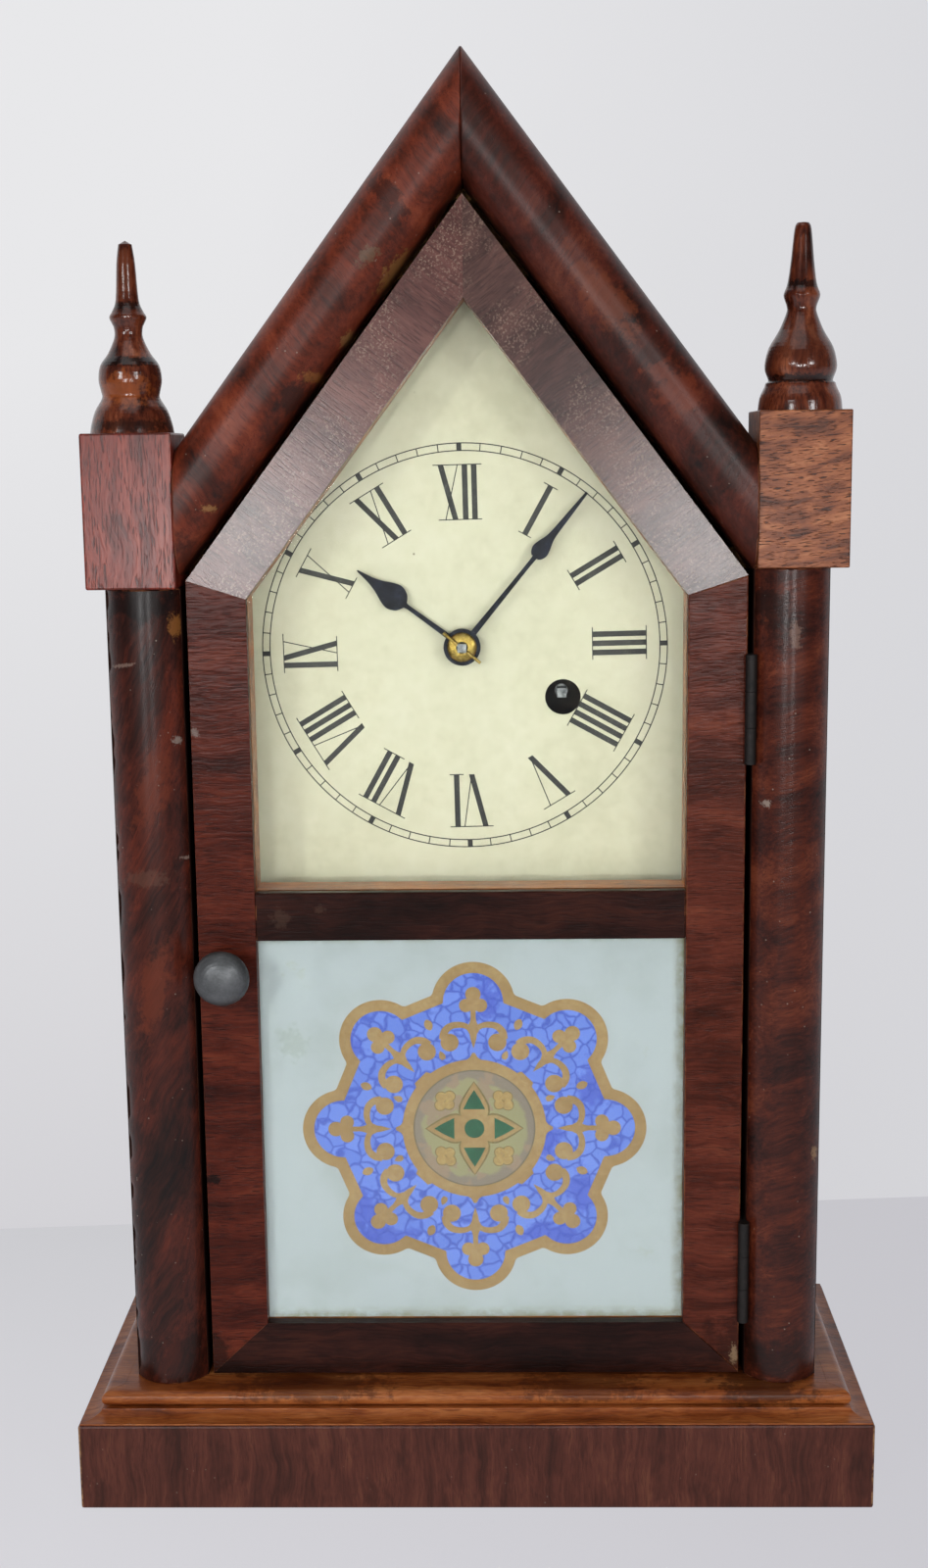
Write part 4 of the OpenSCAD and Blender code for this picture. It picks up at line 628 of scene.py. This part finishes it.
def chipOuterEdge(point):
    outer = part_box("column_left")[0][0]
    bite = noise.noise(Vector((3.1, 0.4, point.z / (chips["pitch"] * mm))))
    bite += 0.5 * noise.noise(Vector((7.7, 0.2, point.z / (chips["small"] * mm))))
    reach = min(1.0, max(0.0, (bite - chips["start"]) * chips["steep"]))
    near = max(0.0, 1.0 - (point.x - outer) / (chips["band"] * mm))
    point.x += chips["depth"] * mm * reach * near
    return point


woodParts = [
    # node, material, slot, width of the eased edge
    ("plinth_front", "plinthVeneer", "plinth_veneer", 0.8),
    ("plinth_sides", "plinthVeneer", "plinth_veneer", 0.8),
    ("base_moulding_front", "mouldingWalnut", "moulding_walnut", 0.3),
    ("base_moulding_left", "mouldingWalnut", "moulding_walnut", 0.3),
    ("base_moulding_right", "mouldingWalnut", "moulding_walnut", 0.3),
    ("block_left", "blockWalnutLeft", "block_walnut", 0.7),
    ("block_right", "blockWalnutRight", "block_walnut", 0.6),
    ("column_right", "columnVeneerRight", "column_veneer", 0.6),
    ("gable_moulding_left", "gableVeneerLeft", "gable_walnut", 0.6),
    ("gable_moulding_right", "gableVeneerRight", "gable_walnut", 0.6),
    ("door_stile_left", "crossBandedVeneerLeft", "door_veneer", 0.5),
    ("door_stile_right", "crossBandedVeneerRight", "door_veneer", 0.5),
    ("door_rafter_left", "rafterVeneerLeft", "door_veneer", 0.5),
    ("door_rafter_right", "rafterVeneerRight", "door_veneer", 0.5),
    ("door_bottom_rail", "darkRailVeneer", "door_veneer", 0.5),
    ("door_cross_rail", "darkRailVeneer", "door_veneer", 0.5),
]
for node, wood, slot, edge in woodParts:
    easedCopy(node, woods[wood], edge)
easedCopy("column_left", woods["columnVeneerLeft"], 0.6, chips["slices"],
          chipOuterEdge)
print("wooden pieces eased")


# Films of paint or ink: closed thin plates in planes facing the front, sizes in millimetres
def liftPlate(bm, faces, thick):
    raised = bmesh.ops.extrude_face_region(bm, geom=faces)["geom"]
    bmesh.ops.translate(bm, verts=[v for v in raised if isinstance(v, bmesh.types.BMVert)],
                        vec=(0, thick * mm, 0))


def layLoop(bm, outline, front, filled):
    made = bmesh.ops.create_circle(bm, cap_ends=filled, segments=len(outline), radius=1)["verts"]
    for vert, (x, z) in zip(made, outline):
        vert.co = (x * mm, front * mm, z * mm)
    return made


def plate(bm, outline, front, thick):
    made = layLoop(bm, outline, front, True)
    liftPlate(bm, list({f for v in made for f in v.link_faces}), thick)


def ringPlate(bm, outer, inner, front, thick):
    laid = layLoop(bm, outer, front, False)[:] + layLoop(bm, inner, front, False)[:]
    edges = {e for v in laid for e in v.link_edges}
    liftPlate(bm, bmesh.ops.bridge_loops(bm, edges=list(edges))["faces"], thick)


# Points around a centre; a is the clockwise angle from straight up in degrees
def polar(centre, radius, a):
    return (centre[0] + radius * math.sin(math.radians(a)), centre[1] + radius * math.cos(math.radians(a)))


def circle(centre, radius, steps=48):
    return [polar(centre, radius, -360 * k / steps) for k in range(steps)]


# Dial print: minute track and Roman hours, their feet towards the centre
dialPrint = {"centre": (-1.4, 306.3), "front": -8.05, "thick": 0.05, "track": (72.85, 70.2), "line": 0.40,
             "fiveBlock": 1.8, "hours": (46.0, 65.3), "heavy": 2.0, "light": 0.38, "serif": 0.36,
             "beyond": {"foot": 2.55, "top": 2.8}, "turn": -1.0, "shift": -0.5}
letters = {  # advance, then strokes: weight, place at the top, place at the foot
    "I": (3.3, [("heavy", 1.65, 1.65)]),
    "V": (9.55, [("heavy", 1.0, 5.7), ("light", 8.7, 5.7)]),
    "X": (7.85, [("heavy", 1.0, 5.9), ("light", 7.0, 2.4)]),
}
numerals = ["XII", "I", "II", "III", "IIII", "V", "VI", "VII", "VIII", "IX", "X", "XI"]


# A bar between two points given as clockwise offset and distance outward, its ends cut along the circle
def inkBar(bm, angle, start, end, width):
    out = Vector((math.sin(math.radians(angle)), 0, math.cos(math.radians(angle))))
    side = Vector((out.z, 0, -out.x))
    centre = Vector((dialPrint["centre"][0], 0, dialPrint["centre"][1]))
    a, b = (centre + side * p[0] + out * p[1] for p in (start, end))
    middle = (a + b) / 2 + Vector((0, dialPrint["front"] + dialPrint["thick"] / 2, 0))
    frameOf = Matrix((side * width, Vector((0, dialPrint["thick"], 0)), b - a)).transposed().to_4x4()
    bmesh.ops.create_cube(bm, size=1, matrix=Matrix.Scale(mm, 4) @ Matrix.Translation(middle) @ frameOf)


bm = bmesh.new()
outerTrack, innerTrack = dialPrint["track"]
for radius in dialPrint["track"]:
    halfLine = dialPrint["line"] / 2
    outer, inner = (circle(dialPrint["centre"], radius + grown, 240) for grown in (halfLine, -halfLine))
    ringPlate(bm, outer, inner, dialPrint["front"], dialPrint["thick"])
for minute in range(60):
    width = dialPrint["fiveBlock"] if minute % 5 == 0 else dialPrint["light"]
    inkBar(bm, minute * 6 + dialPrint["turn"], (0, innerTrack), (0, outerTrack), width)
foot, top = dialPrint["hours"]
for hour, numeral in enumerate(numerals):
    angle = hour * 30 + dialPrint["turn"]
    start = -sum(letters[c][0] for c in numeral) / 2 + dialPrint["shift"]
    tops, feet = [], []
    for c in numeral:
        advance, strokes = letters[c]
        for weight, atTop, atFoot in strokes:
            inkBar(bm, angle, (start + atFoot, foot), (start + atTop, top), dialPrint[weight])
            tops.append(start + atTop)
            feet += [start + atFoot] if c != "V" else []
        start += advance
    for end, ends, radius in (("top", tops, top), ("foot", feet, foot)):
        if ends:
            centred = (min(ends) + max(ends)) / 2
            width = max(ends) - min(ends) + 2 * dialPrint["beyond"][end]
            inward, outward = ((centred, radius + side * dialPrint["serif"] / 2) for side in (-1, 1))
            inkBar(bm, angle, inward, outward, width)
makePiece("dial_print", bm, "case", paints["printersInk"])
print("dial printed")


# Painted rosette behind the tablet glass, a traditional ornament with eight lobes
# (front planes of the layers, radii, then points as clockwise offset and distance outward)
rosette = {
    "centre": (0.6, 134.1),
    "layers": {"detail": -32.19, "ochre": -32.14, "outline": -32.125, "disc": -32.095, "field": -32.05,
               "ground": -31.99},
    "thick": 0.04, "discThick": 0.03, "lineThick": 0.02, "outline": 0.3, "overlap": 1.5,
    "lobeAt": 47.4, "outer": (14.9, 51.8), "field": (10.8, 47.6), "ring": (26.1, 22.1),
    "scroll": [(0.8, 36.0), (1.5, 37.6), (3.2, 38.7), (5.8, 39.0), (8.6, 38.3), (10.5, 36.2), (10.9, 33.6)],
    "scrollWidth": (1.6, 3.0), "ball": ((8.6, 32.4), 3.3),
    "leaves": [(2.6, 46.2, 2.5), (-2.6, 46.2, 2.5), (0, 50.3, 2.8), (0, 47.4, 2.0)],
    "stem": [(1.0, 45.5), (0.9, 41.5), (1.2, 40.0), (2.0, 38.4), (1.5, 36.4), (1.0, 33.5), (0, 30.1)],
    "knob": [(3.4, 25.4), (1.4, 26.8), (0.5, 28.5)], "corner": [(3.9, 25.4), (3.0, 27.3)],
    "drop": [(0, 31.7), (0.8, 30.7), (1.25, 29.4), (0.7, 28.2)], "diamond": (42.2, 2.2, 1.5),
    "petal": [(0, 17.4), (2.0, 14.1), (3.7, 11.2), (4.9, 8.4), (5.1, 6.4), (4.7, 4.7), (0, -1.0)],
    "petalGrowth": (1.07, 1.03), "triangle": [(0, 14.6), (2.08, 11.2), (4.0, 7.3)], "hub": 3.6,
    "tulip": [(0, 16.8, 1.9), (-2.4, 14.9, 1.9), (2.4, 14.9, 1.9), (0, 12.9, 1.8)],
}
middle = rosette["centre"]


# Radius of the lobed outline at an angle: round lobes joined by straight runs
def lobed(size, a):
    lobeRadius, flat = size
    away = math.radians((a + 22.5) % 45 - 22.5)
    inside = lobeRadius ** 2 - (rosette["lobeAt"] * math.sin(away)) ** 2
    curved = rosette["lobeAt"] * math.cos(away) + math.sqrt(inside) if inside > 0 else 0
    return max(curved, flat / math.cos(math.radians(22.5) - abs(away)))


def lobedOutline(size, steps=360):
    return [polar(middle, lobed(size, -360 * k / steps), -360 * k / steps) for k in range(steps)]


# Turns points given as clockwise offset and distance outward into the plane of the tablet
def turned(points, a):
    c, s = math.cos(math.radians(a)), math.sin(math.radians(a))
    return [(middle[0] + x * c + z * s, middle[1] - x * s + z * c) for x, z in points]


# Closes a half outline, given from top to foot or from foot to top, by its mirror image
def mirrored(half):
    return half + [(-x, z) for x, z in half[::-1] if x > 0]


# Outline of a band that widens along a smooth run through the points
def bandOutline(points, width, steps=5):
    knots = [Vector(p) for p in [points[0]] + points + [points[-1]]]
    run = []
    for i in range(len(knots) - 3):
        a, b, c, d = knots[i:i + 4]
        for k in range(steps):
            t = k / steps
            run.append(0.5 * ((2 * b) + (c - a) * t + (2 * a - 5 * b + 4 * c - d) * t ** 2
                              + (3 * b - a - 3 * c + d) * t ** 3))
    run.append(knots[-1])
    left, right = [], []
    for i, p in enumerate(run):
        along = (run[min(i + 1, len(run) - 1)] - run[max(i - 1, 0)]).normalized()
        half = (width[0] + (width[1] - width[0]) * i / (len(run) - 1)) / 2
        left.append(p + Vector((-along.y, along.x)) * half)
        right.append(p - Vector((-along.y, along.x)) * half)
    return [tuple(p) for p in left + right[::-1]]


# Pointed lens along the outward direction
def lensOutline(halfLength, halfWidth, steps=12):
    bow = (halfLength ** 2 + halfWidth ** 2) / (2 * halfWidth)
    rises = [halfLength * (2 * k / steps - 1) for k in range(steps + 1)]
    right = [(math.sqrt(bow ** 2 - z ** 2) - bow + halfWidth, z) for z in rises]
    return right + [(-x, z) for x, z in right[-2:0:-1]]


ochre, field, detail = bmesh.new(), bmesh.new(), bmesh.new()
layer, thick = rosette["layers"], rosette["thick"]
ringPlate(ochre, lobedOutline(rosette["outer"]), lobedOutline(rosette["field"]), layer["ochre"], thick)
outer, inner = (circle(middle, radius, 96) for radius in rosette["ring"])
ringPlate(ochre, outer, inner, layer["ochre"], thick)
plate(field, lobedOutline([size + rosette["overlap"] for size in rosette["field"]]), layer["field"], thick)
for k in range(8):
    a, depth = k * 45, layer["ochre"]
    for side in (1, -1):
        band = bandOutline([(side * x, z) for x, z in rosette["scroll"]], rosette["scrollWidth"])
        plate(ochre, turned(band, a), depth - 0.004 - 0.001 * side, thick)
        (x, z), radius = rosette["ball"]
        plate(ochre, turned(circle((side * x, z), radius, 28), a), depth - 0.008 - 0.001 * side, thick)
    for n, (x, z, radius) in enumerate(rosette["leaves"]):
        plate(ochre, turned(circle((x, z), radius, 24), a), depth - 0.012 - 0.002 * n, thick)
    plate(ochre, turned(mirrored(rosette["stem"]), a), depth - 0.020, thick)
    foot = rosette["knob"] if k % 2 == 0 else rosette["corner"]
    plate(ochre, turned(mirrored(foot), a), depth - 0.003, thick)
    away, long, wide = rosette["diamond"]
    plate(ochre, turned([(x, z + away) for x, z in lensOutline(long, wide)], a + 22.5), depth, thick)
    plate(ochre, turned(mirrored(rosette["drop"]), a + 22.5), depth - 0.002, thick)
for k in range(4):
    plate(ochre, turned(mirrored(rosette["petal"]), k * 90), depth - 0.010 - k * 0.002, thick)
for k in range(4):
    plate(detail, turned(mirrored(rosette["triangle"]), k * 90), layer["detail"], thick)
plate(detail, circle(middle, rosette["hub"], 32), layer["detail"], thick)
makePiece("tablet_ochre", ochre, "door", paints["ochrePaint"])
makePiece("tablet_blue", field, "door", paints["blueCellPaint"])
makePiece("tablet_green", detail, "door", paints["greenPaint"])

disc, tulips, ground, outlines = bmesh.new(), bmesh.new(), bmesh.new(), bmesh.new()
discThick, lineThick, line = (rosette[k] for k in ("discThick", "lineThick", "outline"))
plate(disc, circle(middle, rosette["ring"][1] + 0.8, 64), layer["disc"], discThick)
grownX, grownZ = rosette["petalGrowth"]
wider = [(x * grownX + line * (x > 0), z * grownZ) for x, z in rosette["petal"][:-1]] + rosette["petal"][-1:]
for k in range(4):
    a = k * 90 + 45
    for n, (x, z, radius) in enumerate(rosette["tulip"]):
        leaf, around = (turned(circle((x, z), radius + grown, 20), a) for grown in (0, line))
        plate(tulips, leaf, layer["ochre"] - 0.02 + n * 0.003, discThick)
        plate(outlines, around, layer["outline"] - n * 0.001, lineThick)
    plate(outlines, turned(mirrored(wider), k * 90), layer["outline"] - 0.005 - k * 0.001, lineThick)
low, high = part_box("door_bottom_rail")[1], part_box("door_cross_rail")[0]
edge = 0.05  # the ground stops this far short of the opening's edges
opening = [(low[0] / mm - edge, low[2] / mm + edge), (low[0] / mm - edge, high[2] / mm - edge),
           (-low[0] / mm + edge, high[2] / mm - edge), (-low[0] / mm + edge, low[2] / mm + edge)]
plate(ground, opening, layer["ground"], thick)
makePiece("tablet_disc", disc, "door", paints["cloudedDiscPaint"])
makePiece("tablet_outlines", outlines, "door", paints["umberPaint"])
makePiece("tablet_tulips", tulips, "door", paints["tulipPaint"])
makePiece("tablet_ground", ground, "door", paints["paleGroundPaint"])
print("tablet painted")


# Finishes of the CAD nodes that keep their shape
nodeLooks = {
    woods["turnedWalnut"]: ["finial_left", "finial_right"],
    woods["gableVeneerLeft"]: ["roof_boards"],
    woods["mouldingWalnut"]: ["base_board", "glazing_strips"],
    woods["shadedGapPine"]: ["front_posts", "side_boards"],
    woods["agedPine"]: ["back_board", "dial_rails", "glue_blocks", "plinth_back", "movement_feet"],
    metals["agedBrass"]: ["hand_washer", "hand_pin", "latch_tongue", "dial_pins"],
    metals["shadedPlateBrass"]: ["front_plate"],
    metals["movementBrass"]: ["back_plate", "suspension_post", "minute_wheel", "hour_wheel",
                              "centre_wheel", "great_wheel", "third_wheel", "escape_wheel", "pendulum_rod",
                              "pendulum_bob"],
    metals["shadedHingeBrass"]: ["case_hinge_leaves", "door_hinge_leaves"],
    metals["cutSteel"]: ["movement_pillars", "movement_screws", "mainspring", "centre_arbor", "click",
                         "winding_arbor", "verge"],
    metals["bluedSteel"]: ["minute_hand", "hour_hand"],
    metals["dullPewter"]: ["door_knob"],
    paints["dialEnamel"]: ["dial"],
    panes["upper_glass"]: ["upper_glass"],
    panes["tablet_glass"]: ["tablet_glass"],
}
for material, names in nodeLooks.items():
    for name in names:
        for slot in nodes[name].material_slots:
            slot.material = material
print("kept nodes finished")
